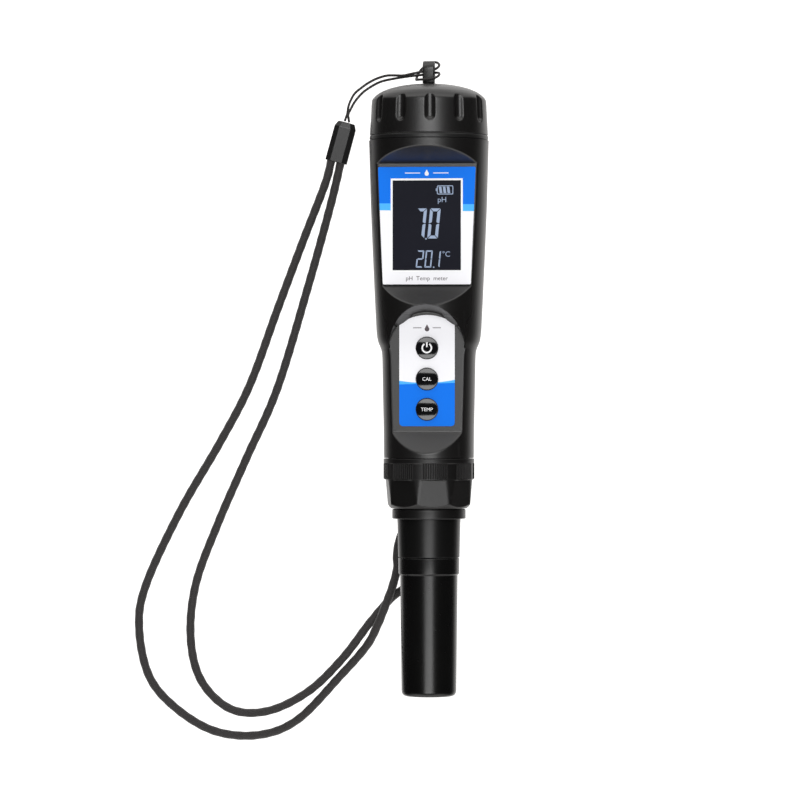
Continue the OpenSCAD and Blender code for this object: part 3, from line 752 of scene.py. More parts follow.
@dataclass
class Housing:
    """The housing and its front cover, one smooth skin that a seam divides round the bridge."""

    display_u: float = 9.45
    keypad_u: float = 8.5
    display_low_y: float = 28.2
    display_high_y: float = 65.0
    keypad_low_y: float = -16.2
    shoulder_y: float = 9.0
    wall_lean_deg: float = 16.4
    pocket_r: float = 11.65
    edge_round: float = 0.35
    skin: float = 1.4
    seam: float = 0.16
    back_u: float = 18.4
    profile: tuple[tuple[float, float], ...] = (
        (-24.2, 13.71), (-15.7, 13.77), (-5.9, 13.99), (6.25, 14.21), (8.1, 14.35), (9.4, 14.7),
        (10.7, 15.35), (12.3, 15.75), (14.5, 15.99), (18.5, 16.19), (24.5, 16.49), (38.0, 17.11),
        (52.6, 17.71), (72.4, 18.24))

    def radius(self, y: np.ndarray) -> np.ndarray:
        """Return the housing's outer radius at y, smoothed over its corners."""
        stations, radii = zip(*self.profile)
        offsets = np.linspace(-0.7, 0.7, 7)
        inside = np.clip(y, -23.3, 71.5)
        return (sum(np.interp(inside + o, stations, radii) for o in offsets) / len(offsets)
                + (y - inside) * 0.038)

    def edge_u(self, y: np.ndarray) -> np.ndarray:
        """Return the height of the flats' side edges, which the bridge's seam joins."""
        return np.interp(y, [self.shoulder_y, self.display_low_y], [self.keypad_u, self.display_u])

    def surface(self, share: np.ndarray, y: np.ndarray) -> tuple[np.ndarray, np.ndarray, np.ndarray]:
        """Return the angle and radius of the skin, and the angle of the skin's inside.

        Args:
            share: Place across the front, where the flats end at -1 and 1 and the back's middle is at 2.
            y: Place along the pen.

        Returns:
            The angle from +Z, the radius, and the angle from +Z of the point behind it.
        """
        reach = self.radius(y)
        side = np.arccos(self.edge_u(y) / reach)
        limit = 1.1
        size = np.abs(share)
        front = np.minimum(size, limit) * side
        back = np.clip((size - limit) / (2 - limit), 0, 1) * (math.pi - limit * side)
        angle = np.sign(share) * (front + back)
        rim_in, rim_out = self.pocket_rim(y)
        walled = (rim_in > rim_out) & (y > self.shoulder_y)
        off = np.abs(angle) - rim_in
        strength = np.where(y > self.shoulder_y, np.clip((23 - y) / 3, 0, 1), 0)
        drawn = off * (1 - strength * np.exp(-np.abs(off) / 0.035))
        angle = np.sign(share) * (rim_in + drawn)
        beyond = walled & (off > 0)
        cosine = np.cos(angle)
        facing = np.maximum(cosine, 0.02)
        low_ramp = self.display_u + (self.display_low_y - y) * 1.073
        high_ramp = self.display_u + (y - self.display_high_y) * 1.706
        display = np.maximum(self.display_u, soft_max(low_ramp, high_ramp, 0.01))
        display = soft_max(display, np.full_like(display, self.display_u), 0.25) / facing
        reach = soft_min(reach, display, self.edge_round)
        recess = np.where(beyond, 60.0, self.keypad(angle, y, facing))
        reach = soft_min(reach, recess, self.edge_round)
        fade = np.clip((np.abs(angle) - rim_in) / (1.4 - rim_in), 0, 1)
        pull = (rim_in - rim_out) * (1 - fade * fade * (3 - 2 * fade))
        pulled = np.where(beyond, angle - np.sign(share) * pull, angle)
        return pulled, self.back(pulled, reach, y), angle

    def pocket_rim(self, y: np.ndarray) -> tuple[np.ndarray, np.ndarray]:
        """Return the angles of the keypad recess's edge, on its floor and at the housing's outside."""
        lean = math.tan(math.radians(self.wall_lean_deg))
        long_r = self.pocket_r / math.cos(math.radians(self.wall_lean_deg))

        def half(u: np.ndarray) -> np.ndarray:
            """Return the recess's half width at height u."""
            part = (y - 10.0 + (15.5 - u) * lean) / long_r
            return self.pocket_r * np.sqrt(np.clip(1 - part ** 2, 0, 1))

        outside = self.radius(y)
        height = np.full_like(outside, 11.0)
        for _ in range(6):
            height = np.sqrt(np.maximum(outside ** 2 - half(height) ** 2, 1.0))
        inner = np.arctan(half(np.full_like(outside, self.keypad_u)) / self.keypad_u)
        return inner, np.arcsin(np.clip(half(height) / outside, 0, 1))

    def keypad(self, angle: np.ndarray, y: np.ndarray, facing: np.ndarray) -> np.ndarray:
        """Return the radius at which a ray from the axis leaves the solid into the keypad's recess."""
        lean = math.tan(math.radians(self.wall_lean_deg))
        long_r = self.pocket_r / math.cos(math.radians(self.wall_lean_deg))
        start = (y - 10.0 + 15.5 * lean) / long_r
        drift = np.cos(angle) * lean / long_r
        across = np.sin(angle) / self.pocket_r
        square = drift ** 2 + across ** 2
        inside = (start * drift) ** 2 - square * (start ** 2 - 1)
        enter = (start * drift - np.sqrt(np.maximum(inside, 0))) / square
        leave = (start * drift + np.sqrt(np.maximum(inside, 0))) / square
        enter = np.where(inside > 0, enter + 5 * np.maximum(0, self.radius(y) - leave), 60.0)
        enter = np.where(y < self.shoulder_y, 0.0, enter)
        ramp = self.keypad_u + np.maximum(0, self.keypad_low_y - y) * 0.8
        floor = soft_max(ramp, np.full_like(ramp, self.keypad_u), 0.3) / facing
        return soft_max(floor, np.maximum(enter, 0), 0.3)

    def back(self, angle: np.ndarray, reach: np.ndarray, y: np.ndarray) -> np.ndarray:
        """Add the flat back that the pen rests on, with its shallow label recess."""
        down = np.maximum(-np.cos(angle), 0.02)
        aside = np.abs(np.sin(angle)) + 1e-6
        ends = np.maximum(0, np.maximum(-3 - y, (y - 66) * 0.75)) * 2.8
        flat = np.maximum(self.back_u - ends, 0.1) / down
        recessed = (aside * self.back_u / down < 5.25) & (y > 18) & (y < 58)
        flat = np.where(recessed, (self.back_u - 0.35) / down, flat)
        flank = 9.07 / (aside + down * 0.1667)
        pad = soft_min(flat, flank, 0.3)
        return np.minimum(soft_max(reach, np.where(np.cos(angle) < -0.3, pad, 0.0), 0.4),
                          np.where(down > 0.3, self.back_u / down, 99.0))

    def shell(self, name: str, share: np.ndarray, y: np.ndarray, keep_cell: np.ndarray, wrap: bool,
              finish: Finish) -> bpy.types.Object:
        """Make a closed shell from the cells of a grid on the skin.

        Args:
            name: The piece's name.
            share: Places across, one per column.
            y: Places along, one per row.
            keep_cell: Which cells belong to the piece.
            wrap: Whether the last column joins the first.
            finish: The surface finish.

        Returns:
            The shell.
        """
        across, along = np.meshgrid(share, y)
        outer, reach, inner = self.surface(across, along)
        layers = []
        for depth, angle in ((0.0, outer), (self.skin, inner)):
            r = reach - depth
            layers.append(np.stack([r * np.sin(angle), along, AXIS_Z + r * np.cos(angle)], -1).reshape(-1, 3))
        rows, cols = len(y), len(share)
        size = rows * cols
        span = cols if wrap else cols - 1
        faces = []
        for i in range(rows - 1):
            for j in range(span):
                if not keep_cell[i, j]:
                    continue
                k = (j + 1) % cols
                a, b, c, d = i * cols + j, i * cols + k, (i + 1) * cols + k, (i + 1) * cols + j
                faces += [(a, b, c, d), (size + d, size + c, size + b, size + a)]
                sides = (((i - 1, j), a, b), ((i, j + 1), b, c), ((i + 1, j), c, d), ((i, j - 1), d, a))
                for (row, col), p, q in sides:
                    if wrap:
                        col %= span
                    if 0 <= row < rows - 1 and 0 <= col < span and keep_cell[row, col]:
                        continue
                    faces.append((q, p, size + p, size + q))
        return obj_from(name, np.concatenate(layers), faces, finish, 45)

    def build(self) -> None:
        """Make the housing, its cover, its neck and spigot with their threads, and the seal."""
        y = np.concatenate([
            np.linspace(-24.2, -15.4, 34), np.linspace(-14.6, 7.0, 20), np.linspace(7.4, 8.9, 8),
            np.linspace(9.1, 19.9, 110), np.linspace(20.05, 28.1, 54), np.linspace(28.35, 30, 6),
            np.linspace(31.5, 63.6, 20), np.linspace(64, 71.4, 40), np.linspace(71.8, 72.4, 3)])
        front = np.concatenate([np.linspace(-0.9, 0.9, 91), np.linspace(0.915, 1.1, 12)])
        share = np.concatenate([-front[::-1][:12], front])
        share = np.concatenate([share, np.linspace(1.1, 2, 62)[1:], -np.linspace(2, 1.1, 62)[1:-1]])
        middle_x, middle_y = (share + np.roll(share, -1)) / 2, (y[1:] + y[:-1]) / 2
        wrapped = np.abs(share - np.roll(share, -1)) > 1
        bridge = ((np.abs(middle_x) < 1) & ~wrapped)[None, :] & (
            (middle_y > self.shoulder_y) & (middle_y < self.display_low_y + 0.1))[:, None]
        shell = self.shell("housing", share, y, ~bridge, True, BODY)
        keep(shell, "housing", "housing_black", "housing_shell")
        gap = self.seam / 14
        cover_share = np.concatenate([[-1 + gap], np.linspace(-0.985, 0.985, 197), [1 - gap]])
        cover_y = np.concatenate([np.linspace(self.shoulder_y + 0.1, 22.6, 150),
                                  np.linspace(22.75, self.display_low_y, 38)])
        cells = np.ones((len(cover_y) - 1, len(cover_share) - 1), bool)
        keep(self.shell("front_bridge", cover_share, cover_y, cells, False, COVER), "housing", "cover_black",
             "front_cover")
        neck = revolved("battery_neck", filleted([(14, 70), (14, 81, 0.3), (15.4, 81, 0.4), (15.4, 70)]),
                        BODY)
        keep(neck, "housing", "housing_black")
        spigot = revolved("probe_spigot", filleted([
            (9, -22.6), (9, -32.5, 0.3), (11.4, -32.5, 0.4), (11.4, -24.3), (12.4, -24.3),
            (12.4, -22.6)]), BODY)
        keep(spigot, "housing", "housing_black")
        seal = revolved("cap_seal", filleted([
            (15.45, 72.45), (17.9, 72.45, 0.25), (18.15, 73.25, 0.7), (17.9, 74.04, 0.25),
            (15.45, 74.04)], 6), SEAL, 128)
        keep(seal, "housing", "seal_rubber", "cap_seal_ring")
        thread = thread_group()
        for name, place_y, radius, turns, length, ridge in (
                ("neck_thread", 75.0, 15.05, 1.6, 4.8, 0.5), ("spigot_thread", -31.6, 11.12, 4.0, 6.0, 0.42)):
            made = grown(name, thread, {"Place": (0, place_y * MM, AXIS_Z * MM), "Radius": radius * MM,
                                        "Turns": turns, "Length": length * MM, "Ridge": ridge * MM}, BODY)
            keep(made, "housing", "housing_black")


# ---------------------------------------------------------- display and keys


def segment_outlines(lit: str, x: float, y: float, wide: float, high: float, thick: float,
                     lean: float = 0.1) -> list[Outline]:
    """Return the outlines of a seven-segment character.

    Args:
        lit: Letters of the lit segments, a to g.
        x: Left edge at the foot.
        y: Foot.
        wide: Width.
        high: Height.
        thick: Thickness of a segment.
        lean: Slant of the uprights.

    Returns:
        One outline for each lit segment.
    """
    gap, half, mid = thick * 0.16, thick / 2, high / 2
    bars = {
        "a": [(gap, high), (wide - gap, high), (wide - thick - gap, high - thick),
              (thick + gap, high - thick)],
        "d": [(gap, 0), (thick + gap, thick), (wide - thick - gap, thick), (wide - gap, 0)],
        "g": [(gap + half, mid), (thick, mid + half), (wide - thick, mid + half), (wide - half - gap, mid),
              (wide - thick, mid - half), (thick, mid - half)],
        "b": [(wide, high - gap), (wide, mid + gap), (wide - half, mid + gap), (wide - thick, mid + half),
              (wide - thick, high - thick - gap)],
        "c": [(wide, gap), (wide - thick, thick + gap), (wide - thick, mid - half), (wide - half, mid - gap),
              (wide, mid - gap)],
        "f": [(0, high - gap), (thick, high - thick - gap), (thick, mid + half), (half, mid + gap),
              (0, mid + gap)],
        "e": [(0, gap), (0, mid - gap), (half, mid - gap), (thick, mid - half), (thick, thick + gap)],
    }
    return [[(x + px + lean * py, y + py) for px, py in bars[letter]] for letter in lit]


def drop_outline(x: float, y: float, radius: float) -> Outline:
    """Return the outline of a water drop whose round part is centred on (x, y)."""
    arc = [math.radians(a) for a in range(150, 391, 12)]
    return [(x + radius * math.cos(a), y + radius * math.sin(a)) for a in arc] + [(x, y + 2.1 * radius)]


def box_outline(low_x: float, low_y: float, high_x: float, high_y: float) -> Outline:
    """Return a rectangle's outline."""
    return [(low_x, low_y), (high_x, low_y), (high_x, high_y), (low_x, high_y)]


@dataclass
class Display:
    """The printed window, the dark pane with its lit segments, and the marks."""

    foot_u: float = 9.46
    thick: float = 0.54
    centre_y: float = 46.3
    pane_w: float = 20.7
    pane_h: float = 27.2
    border: float = 0.58

    def build(self) -> None:
        """Make the window, its pane, its segments and its print."""
        top = self.foot_u + self.thick
        window = prism("display_window", [filleted([(-14.8, 64, 0.5), (-13.35, 28.4, 0.5), (13.35, 28.4, 0.5),
                                                    (14.8, 64, 0.5)])], self.foot_u, top, OVERLAY)
        keep(bevelled(window, 0.12, 2), "housing", "display_overlay", "display_lens")
        half_w, half_h = self.pane_w / 2, self.pane_h / 2
        low, high = self.centre_y - half_h, self.centre_y + half_h
        edge = self.border
        outer = box_outline(-half_w - edge, low - edge, half_w + edge, high + edge)
        border = frame_prism("display_border", outer, box_outline(-half_w, low, half_w, high), top - 0.05,
                             top + 0.03, PRINT_WHITE)
        keep(border, "housing", "display_overlay")
        pane = prism("display_pane", [box_outline(-half_w, low, half_w, high)], top - 0.05, top + 0.02, PANE)
        keep(pane, "housing", "lcd_cell")
        keep(self.segments(top + 0.02), "housing", "lcd_cell")
        keep(self.print_marks(top), "housing", "display_overlay")
        name = lettering("display_caption", "pH  Temp  meter", 1.25, 0, 30.3, top, PRINT_GREY)
        keep(name, "housing", "display_overlay")

    def segments(self, u: float) -> bpy.types.Object:
        """Return every lit segment: the reading, the temperature, the units and the battery."""
        shapes = (segment_outlines("abc", -3.7, 42.3, 2.9, 9.1, 0.9)
                  + segment_outlines("abcdef", 0.15, 42.3, 3.2, 9.1, 0.9)
                  + segment_outlines("abged", -3.35, 33.5, 2.1, 5.2, 0.42)
                  + segment_outlines("abcdef", -0.75, 33.5, 2.1, 5.2, 0.42)
                  + segment_outlines("bc", 1.75, 33.5, 2.1, 5.2, 0.42))
        shapes += [box_outline(-0.45, 42.0, 0.0, 42.45), box_outline(1.9, 33.4, 2.3, 33.8)]
        shapes.append(box_outline(2.75, 56.6, 3.05, 57.5))
        shapes += [[(3.7 + k, 56.0), (4.5 + k, 56.0), (4.2 + k, 58.0), (3.4 + k, 58.0)]
                   for k in (0.25, 1.45, 2.65)]
        marks = prism("segments", shapes, u, u + 0.04, LIT)
        outer = filleted([(3.1, 55.6, 0.4), (8.05, 55.6, 0.4), (8.05, 58.35, 0.4), (3.1, 58.35, 0.4)], 3)
        inner = filleted([(3.35, 55.85, 0.3), (7.8, 55.85, 0.3), (7.8, 58.1, 0.3), (3.35, 58.1, 0.3)], 3)
        case = frame_prism("case", outer, inner, u, u + 0.04, LIT)
        units = [lettering("unit_ph", "pH", 1.6, 4.65, 54.1, u, LIT),
                 lettering("unit_degree", "°C", 1.6, 5.9, 37.6, u, LIT)]
        return joined("display_segments", [marks, case, *units])

    def print_marks(self, u: float) -> bpy.types.Object:
        """Return the white marks above the pane: a drop between two fine rules."""
        shapes = [drop_outline(0, 61.9, 0.62), box_outline(-6.6, 62.0, -2.0, 62.25),
                  box_outline(2.0, 62.0, 6.6, 62.25)]
        return prism("display_marks", shapes, u, u + 0.04, PRINT_WHITE)


@dataclass
class Keypad:
    """The printed keypad film and its three domed keys."""

    foot_u: float = 8.51
    thick: float = 0.27
    half_w: float = 8.42
    arc_r: float = 14.1
    top_y: float = 19.2
    foot_y: float = -14.5
    key_d: float = 6.65
    key_y: tuple[float, float, float] = (9.2, -0.2, -9.4)

    def film(self) -> bpy.types.Object:
        """Return the film with a hole for each key."""
        reach = math.asin(self.half_w / self.arc_r)
        arc = [(self.arc_r * math.sin(a), self.top_y - self.arc_r * (1 - math.cos(a)))
               for a in np.linspace(reach, -reach, 25)]
        foot = filleted([(-self.half_w, 0), (-self.half_w, self.foot_y, 1.3), (self.half_w, self.foot_y, 1.3),
                         (self.half_w, 0)], 8)
        film = prism("keypad_film", [arc + foot], self.foot_u, self.foot_u + self.thick, KEY_FILM)
        for y in self.key_y:
            tool = self.disc("hole", y, self.key_d / 2 + 0.12, self.foot_u - 1, self.foot_u + 1)
            cut = film.modifiers.new("hole", "BOOLEAN")
            cut.object, cut.solver = tool, "EXACT"
            baked(film)
            bpy.data.objects.remove(tool)
        return bevelled(film, 0.06, 2, 50)

    @staticmethod
    def disc(name: str, y: float, radius: float, low: float, high: float) -> bpy.types.Object:
        """Return a round upright plug."""
        ring = [(radius * math.cos(a), y + radius * math.sin(a))
                for a in np.linspace(0, 2 * math.pi, 73)[:-1]]
        return prism(name, [ring], low, high, PRINT_WHITE)

    def dome_u(self, aside: float, along: float) -> float:
        """Return the height of a key's top, which curves more along the pen than across it."""
        half = self.key_d / 2
        across = min(abs(aside) / half, 1) ** 2
        bow = min(abs(along) / half, 1) ** 3.2
        return 9.6 - 0.28 * bow - 0.07 * across

    def key(self, name: str, y: float) -> bpy.types.Object:
        """Return one key: a glossy dome on a rim, with the flange and stem below it."""
        half = self.key_d / 2
        side = filleted([(0, 4.9), (1.2, 4.9), (1.2, 6.2), (3.9, 6.2), (3.9, 6.9), (half, 6.9),
                         (half, 8.9)], 2)
        sectors = 72
        angle = np.linspace(0, 2 * math.pi, sectors, endpoint=False)
        points = [(r * math.cos(a), y + r * math.sin(a), AXIS_Z + u) for r, u in side for a in angle]
        for r in np.concatenate([[half, half - 0.02, half - 0.07], np.linspace(half - 0.15, 0.001, 20)]):
            sink = 0.12 * (1 - math.sqrt(max(0.0, 1 - max(0.0, 1 - (half - r) / 0.12) ** 2)))
            for a in angle:
                aside, along = r * math.cos(a), r * math.sin(a)
                points.append((aside, y + along, AXIS_Z + self.dome_u(aside, along) - sink))
        rings = len(points) // sectors
        faces = [(i * sectors + j, i * sectors + (j + 1) % sectors, (i + 1) * sectors + (j + 1) % sectors,
                  (i + 1) * sectors + j) for i in range(rings - 1) for j in range(sectors)]
        faces += [tuple((rings - 1) * sectors + j for j in range(sectors))]
        return obj_from(name, np.array(points), faces, KEY, 35)

    def draped(self, mark: bpy.types.Object, y: float) -> bpy.types.Object:
        """Lay a flat mark, drawn at height 0 above the axis, on the dome of the key at y."""
        for vertex in mark.data.vertices:
            x, along = vertex.co.x / MM, vertex.co.y / MM - y
            vertex.co.z += self.dome_u(x, along) * MM
        return mark

    def power_mark(self, y: float) -> bpy.types.Object:
        """Return the power symbol: a broken ring and a bar."""
        arc = np.radians(np.linspace(122, 418, 33))
        ring = [(1.62 * math.cos(a), y + 1.62 * math.sin(a)) for a in arc]
        ring += [(1.16 * math.cos(a), y + 1.16 * math.sin(a)) for a in arc[::-1]]
        bar = filleted([(-0.22, y + 0.25, 0.1), (0.22, y + 0.25, 0.1), (0.22, y + 1.75, 0.1),
                        (-0.22, y + 1.75, 0.1)])
        return prism("power_mark", [ring, bar], 0.0, 0.04, PRINT_WHITE)

    def build(self) -> None:
        """Make the film, its drop mark, the keys and their marks."""
        keep(self.film(), "housing", "keypad_film", "keypad_label")
        top = self.foot_u + self.thick
        drop = prism("keypad_mark", [drop_outline(0, 14.9, 0.7), box_outline(-4.2, 15.2, -1.7, 15.4),
                                     box_outline(1.7, 15.2, 4.2, 15.4)], top - 0.01, top + 0.03, PRINT_GREY)
        keep(drop, "housing", "keypad_film")
        for name, y in zip(("power", "cal", "temp"), self.key_y):
            body = f"{name}_key"
            keep(self.key(f"{name}_key_cap", y), body, "key_gloss", body)
            if name == "power":
                mark = self.power_mark(y)
            else:
                mark = lettering(f"{name}_mark", name.upper(), 1.05, 0, y, 0, PRINT_WHITE)
            keep(self.draped(mark, y), body, "keypad_film")


# ----------------------------------------------------------------- turned parts


@dataclass
class BatteryCap:
    """The battery cap with its finger grooves, and the lanyard eye that swivels in its crown."""

    grooves: int = 12
    groove_half: float = 1.6
    groove_turn_deg: float = 4.8
    foot_y: float = 79.3
    eye_half: float = 1.78

    def grooved(self, angle: np.ndarray, reach: np.ndarray, y: np.ndarray) -> np.ndarray:
        """Sink the finger grooves, which are round in section, into the cap's outside."""
        pitch = 2 * math.pi / self.grooves
        off = angle - math.radians(self.groove_turn_deg)
        aside = np.abs((off + pitch / 2) % pitch - pitch / 2) * reach
        distance = np.where(y < self.foot_y, np.hypot(aside, y - self.foot_y), aside)
        share = np.clip(distance / self.groove_half, 0, 1)
        depth = 1.05 * (1 - share ** 2.6)
        side = np.interp(y, [77, 83.6, 88], [17.88, 17.58, 17.4])
        floor = np.where(share < 1, side - depth, 99.0)
        outside = (reach > 14.7) & (y > 77) & (y < 88.4)
        return np.where(outside, soft_min(reach, floor, 0.22), reach)

    def cap(self) -> bpy.types.Object:
        """Return the grooved cap."""
        outline = filleted([
            (15.6, 74.1, 0.1), (18.0, 74.1, 0.25), (17.72, 80, 3), (17.56, 83.6, 1), (17.4, 84.8, 0.5),
            (16.9, 85.45, 0.35), (16.1, 86.25, 0.5), (14.8, 87.15, 0.6), (12.8, 88.05, 0.9), (10, 88.84, 1.2),
            (7, 89.38, 1.2), (4.5, 89.62, 1), (1.6, 89.7), (1.6, 86), (2.6, 86), (2.6, 84), (14.6, 84, 0.3),
            (15.6, 82, 0.2)], 6)
        return revolved("grooved_cap", spaced(outline, 0.3), CAP, 480, self.grooved, 50)

    def eye(self) -> bpy.types.Object:
        """Return the eye: a rounded arch over a hole that runs across the pen, on its stem."""
        steps = 40
        outer, inner = [], []
        for k in range(steps):
            a = math.pi * k / (steps - 1)
            outer.append((93.6 + 3.2 * math.sin(a) ** 0.9, 3.05 * math.cos(a)))
            inner.append((93.6 + 1.75 * math.sin(a), 1.5 * math.cos(a)))
        outer = [(89.76, 3.05), (91.2, 3.05)] + outer + [(91.2, -3.05), (89.76, -3.05)]
        inner = [(91.05, 1.2), (91.3, 1.5)] + inner + [(91.3, -1.5), (91.05, -1.2)]
        count = len(outer)
        points = [(x, y, AXIS_Z + u) for x in (-self.eye_half, self.eye_half) for ring in (outer, inner)
                  for y, u in ring]
        faces = []
        for i in range(count):
            j = (i + 1) % count
            faces += [(i, j, count + j, count + i),
                      (2 * count + j, 2 * count + i, 3 * count + i, 3 * count + j),
                      (j, i, 2 * count + i, 2 * count + j),
                      (count + i, count + j, 3 * count + j, 3 * count + i)]
        arch = bevelled(obj_from("arch", np.array(points), faces, CAP, 30), 0.5, 4, 45)
        stem = revolved("stem", [(0, 77.75), (1.5, 77.75), (1.5, 90.2), (0, 90.2)], CAP, 32)
        return joined("lanyard_loop", [arch, stem])

    def build(self) -> None:
        """Make the cap and the eye."""
        keep(self.cap(), "battery_cap", "cap_black", "battery_cap")
        keep(self.eye(), "cap_core", "cap_black", "lanyard_eye")


@dataclass
class CouplingNut:
    """The coupling nut: a rim, a band with patches of ribs, and a tapering body with flats."""

    flats: int = 8
    turn_deg: float = 10.2
    patches: int = 8
    pitches: int = 15
    ribs: int = 11

    def flatted(self, angle: np.ndarray, reach: np.ndarray, y: np.ndarray) -> np.ndarray:
        """Cut the flats on the tapering body."""
        pitch = 2 * math.pi / self.flats
        off = (angle - math.radians(self.turn_deg) + pitch / 2) % pitch - pitch / 2
        flat = np.interp(y, [-39.6, -30.7], [12.03, 12.87]) / np.cos(off)
        cut = soft_min(reach, flat, 0.2)
        return np.where((reach > 11.3) & (y < -30.75) & (y > -39.55), cut, reach)

    def build(self) -> None:
        """Make the nut and its ribs."""
        outline = filleted([
            (11.6, -24.4), (13.84, -24.4, 0.2), (13.84, -25.7, 0.15), (13.55, -25.9, 0.1),
            (13.55, -30.5, 0.1),
            (13.5, -30.7), (13.1, -38.2, 0.4), (11.45, -39.58, 0.2), (10.5, -39.6), (10.5, -35.1),
            (11.6, -35.1)], 4)
        nut = revolved("ribbed_nut", spaced(outline, 0.3), NUT, 360, self.flatted, 35)
        keep(nut, "coupling_nut", "nut_black", "coupling_nut")
        width = 2 * math.pi / (self.patches * self.pitches)
        ribs = grown("nut_ribs", rib_group(), {
            "Place": (0, -28.2 * MM, AXIS_Z * MM), "Radius": 13.6 * MM, "Patches": self.patches,
            "Pitches": self.pitches, "Ribs": self.ribs, "Rib radius": 0.26 * MM, "Rib length": 4.7 * MM,
            "Turn": math.pi / 2 - width * (self.ribs - 1) / 2 - math.radians(self.turn_deg - 22.5)}, NUT)
        keep(ribs, "coupling_nut", "nut_black")


@dataclass
class Probe:
    """The draw-out probe with its collar, barrel and storage cap."""

    plug_r: float = 8.9
    barrel_r: float = 9.65
    barrel_foot_r: float = 9.35
    bore_r: float = 7.3

    def build(self) -> None:
        """Make the barrel, the collar and the storage cap."""
        barrel = revolved("probe_barrel", filleted([
            (0, -25), (self.plug_r, -25, 0.4), (self.plug_r, -28.4), (7.95, -28.4), (7.95, -29.6),
            (self.plug_r, -29.6), (self.plug_r, -32.8), (11.4, -32.8, 0.2), (11.4, -34.9, 0.2), (10.3, -34.9),
            (10.3, -39.75), (self.barrel_r, -39.75), (self.barrel_r, -43.4), (self.barrel_r - 0.05, -44),
            (self.barrel_foot_r, -54.5, 0.25), (7.15, -54.5), (7.15, -58.4), (6.3, -58.4), (6.3, -59.6),
            (7.15, -59.6), (7.15, -64, 0.3), (6.05, -64), (6.05, -36), (0, -36)]), BARREL, 128)
        keep(barrel, "probe", "probe_black", "probe_barrel")
        collar = revolved("probe_collar", filleted([
            (9.68, -39.8), (11.2, -39.8, 0.3), (11.2, -42.7, 0.35), (9.68, -42.7)]), NUT, 128)
        keep(collar, "probe", "probe_black", "probe_collar")
        cap = revolved("storage_cap", filleted([
            (self.bore_r, -54.65, 0.2), (9.3, -54.65, 0.3), (9.26, -59.5, 0.35), (8.77, -59.85, 0.15),
            (8.36, -96.84, 1.9), (0, -96.84), (0, -94.3), (6.9, -94.3, 1), (self.bore_r, -88.5, 1)], 8),
            GLOSS_CAP, 128)
        keep(cap, "storage_cap", "storage_black", "storage_cap")


# ------------------------------------------------------------------- the stage


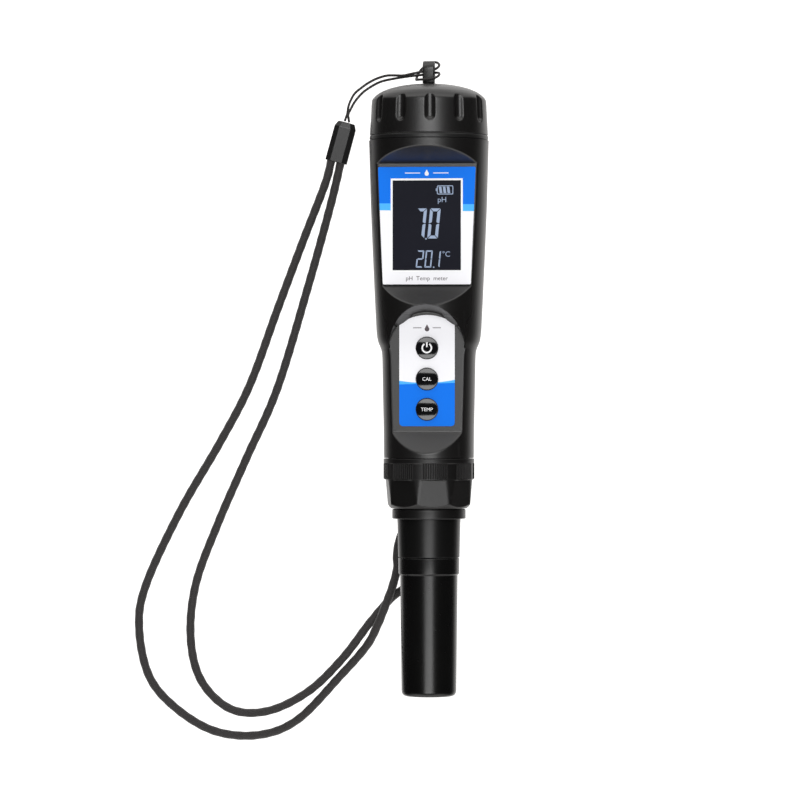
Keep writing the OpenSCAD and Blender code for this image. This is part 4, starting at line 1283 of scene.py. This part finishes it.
@dataclass
class Studio:
    """Camera, floor and lights."""

    aim_m: tuple[float, float, float] = (-0.00884, -0.00656, 0.0184)
    distance_m: float = 1.29
    roll_deg: float = 4.2
    lens: float = 190.3
    floor_m: float = 3.0

    def camera(self) -> None:
        """Set up the camera, which looks down, a few degrees from the pen's right side."""
        data = bpy.data.cameras.new("camera")
        data.lens, data.sensor_width = self.lens, 36.0
        data.clip_start, data.clip_end = 0.01, 20
        seen = bpy.data.objects.new("camera", data)
        lean = math.radians(self.roll_deg)
        seen.location = Vector(self.aim_m) + self.distance_m * Vector((math.sin(lean), 0, math.cos(lean)))
        seen.rotation_euler = (0, lean, 0)
        bpy.context.scene.collection.objects.link(seen)
        bpy.context.scene.camera = seen

    def floor(self) -> None:
        """Lay a plain white floor, which the gloss doesn't show: it shows the surroundings."""
        half = self.floor_m / 2
        mesh = bpy.data.meshes.new("floor")
        mesh.from_pydata([(-half, -half, 0), (half, -half, 0), (half, half, 0), (-half, half, 0)], [],
                         [(0, 1, 2, 3)])
        white = bpy.data.materials.new("studio_floor")
        white.use_nodes = True
        shader = white.node_tree.nodes["Principled BSDF"]
        shader.inputs["Base Color"].default_value = (0.03, 0.03, 0.03, 1)
        shader.inputs["Roughness"].default_value = 0.9
        shader.inputs["Specular IOR Level"].default_value = 0.0
        shader.inputs["Emission Color"].default_value = (1, 0.99, 0.98, 1)
        shader.inputs["Emission Strength"].default_value = 1.3
        mesh.materials.append(white)
        ground = bpy.data.objects.new("floor", mesh)
        ground.visible_glossy = ground.visible_shadow = False
        bpy.context.scene.collection.objects.link(ground)

    def light(self, name: str, place: tuple[float, float, float], size: tuple[float, float], power: float,
              color: Color = (1, 1, 1)) -> None:
        """Hang a soft box that faces the pen."""
        data = bpy.data.lights.new(name, "AREA")
        data.shape, data.size, data.size_y = "RECTANGLE", size[0], size[1]
        data.energy, data.color = power, color
        lamp = bpy.data.objects.new(name, data)
        lamp.location = place
        lamp.rotation_euler = (Vector((0, 0, 0.02)) - Vector(place)).to_track_quat("-Z", "Y").to_euler()
        bpy.context.scene.collection.objects.link(lamp)

    def build(self) -> None:
        """Lay the floor, set the surroundings and hang the lights."""
        self.floor()
        world = bpy.data.worlds.new("studio")
        bpy.context.scene.world = world
        world.use_nodes = True
        world.node_tree.nodes.clear()
        tree = Tree(world.node_tree)
        way = tree.add("ShaderNodeTexCoord").outputs["Generated"]
        split = tree.add("ShaderNodeSeparateXYZ", {0: way}).outputs
        ends = tree.add("ShaderNodeMapRange", {0: tree.math("ABSOLUTE", split[1]), 1: 0.45, 2: 0.8, 3: 0.0,
                                               4: 1.0}, interpolation_type="SMOOTHSTEP")
        low = tree.add("ShaderNodeMapRange", {0: split[2], 1: 0.3, 2: 0.85, 3: 1.0, 4: 0.0},
                       interpolation_type="SMOOTHSTEP")
        above = tree.add("ShaderNodeMapRange", {0: split[2], 1: -0.1, 2: 0.1, 3: 0.9, 4: 2.0})
        under = tree.add("ShaderNodeMapRange", {0: split[2], 1: -0.9, 2: -0.45, 3: 1.3, 4: 0.0},
                         interpolation_type="SMOOTHSTEP")
        glow = tree.math("MULTIPLY", tree.math("MULTIPLY", ends.outputs[0], low.outputs[0]), above.outputs[0])
        glow = tree.math("ADD", tree.math("ADD", glow, under.outputs[0]), 0.012)
        straight = tree.add("ShaderNodeLightPath").outputs["Is Camera Ray"]
        shown = tree.add("ShaderNodeMapRange", {0: straight, 1: 0.0, 2: 1.0, 3: glow, 4: 0.9})
        back = tree.add("ShaderNodeBackground", {"Color": (1, 0.985, 0.97, 1), "Strength": shown.outputs[0]})
        tree.add("ShaderNodeOutputWorld", {"Surface": back.outputs[0]})
        self.light("head_box", (0.1, 0.47, 1.35), (0.8, 0.6), 9)
        self.light("foot_box", (0.1, -0.47, 1.35), (0.8, 0.6), 9)


def dress_cad(frame: dict) -> None:
    """Give every CAD node that still shows the finish of its material slot."""
    slots = {s["node"]: s["material_slot"] for s in frame["record"]["subparts"]}
    for name, node in frame["nodes"].items():
        if node.hide_render:
            continue
        finish = CAD_FINISHES.get(slots[name], BODY)
        node.data.materials.clear()
        node.data.materials.append(finish.material())
        LOG.info("%s keeps its CAD shape in %s", name, finish.name)


def main() -> None:
    """Build the whole pen and its stage."""
    logging.basicConfig(level=logging.INFO, format="%(message)s")
    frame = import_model()
    bpy.context.scene.view_settings.view_transform = "Standard"
    studio = Studio()
    studio.camera()
    Lanyard().build()
    Housing().build()
    Display().build()
    Keypad().build()
    BatteryCap().build()
    CouplingNut().build()
    Probe().build()
    dress_cad(frame)
    studio.build()


if __name__ == "__main__":
    main()
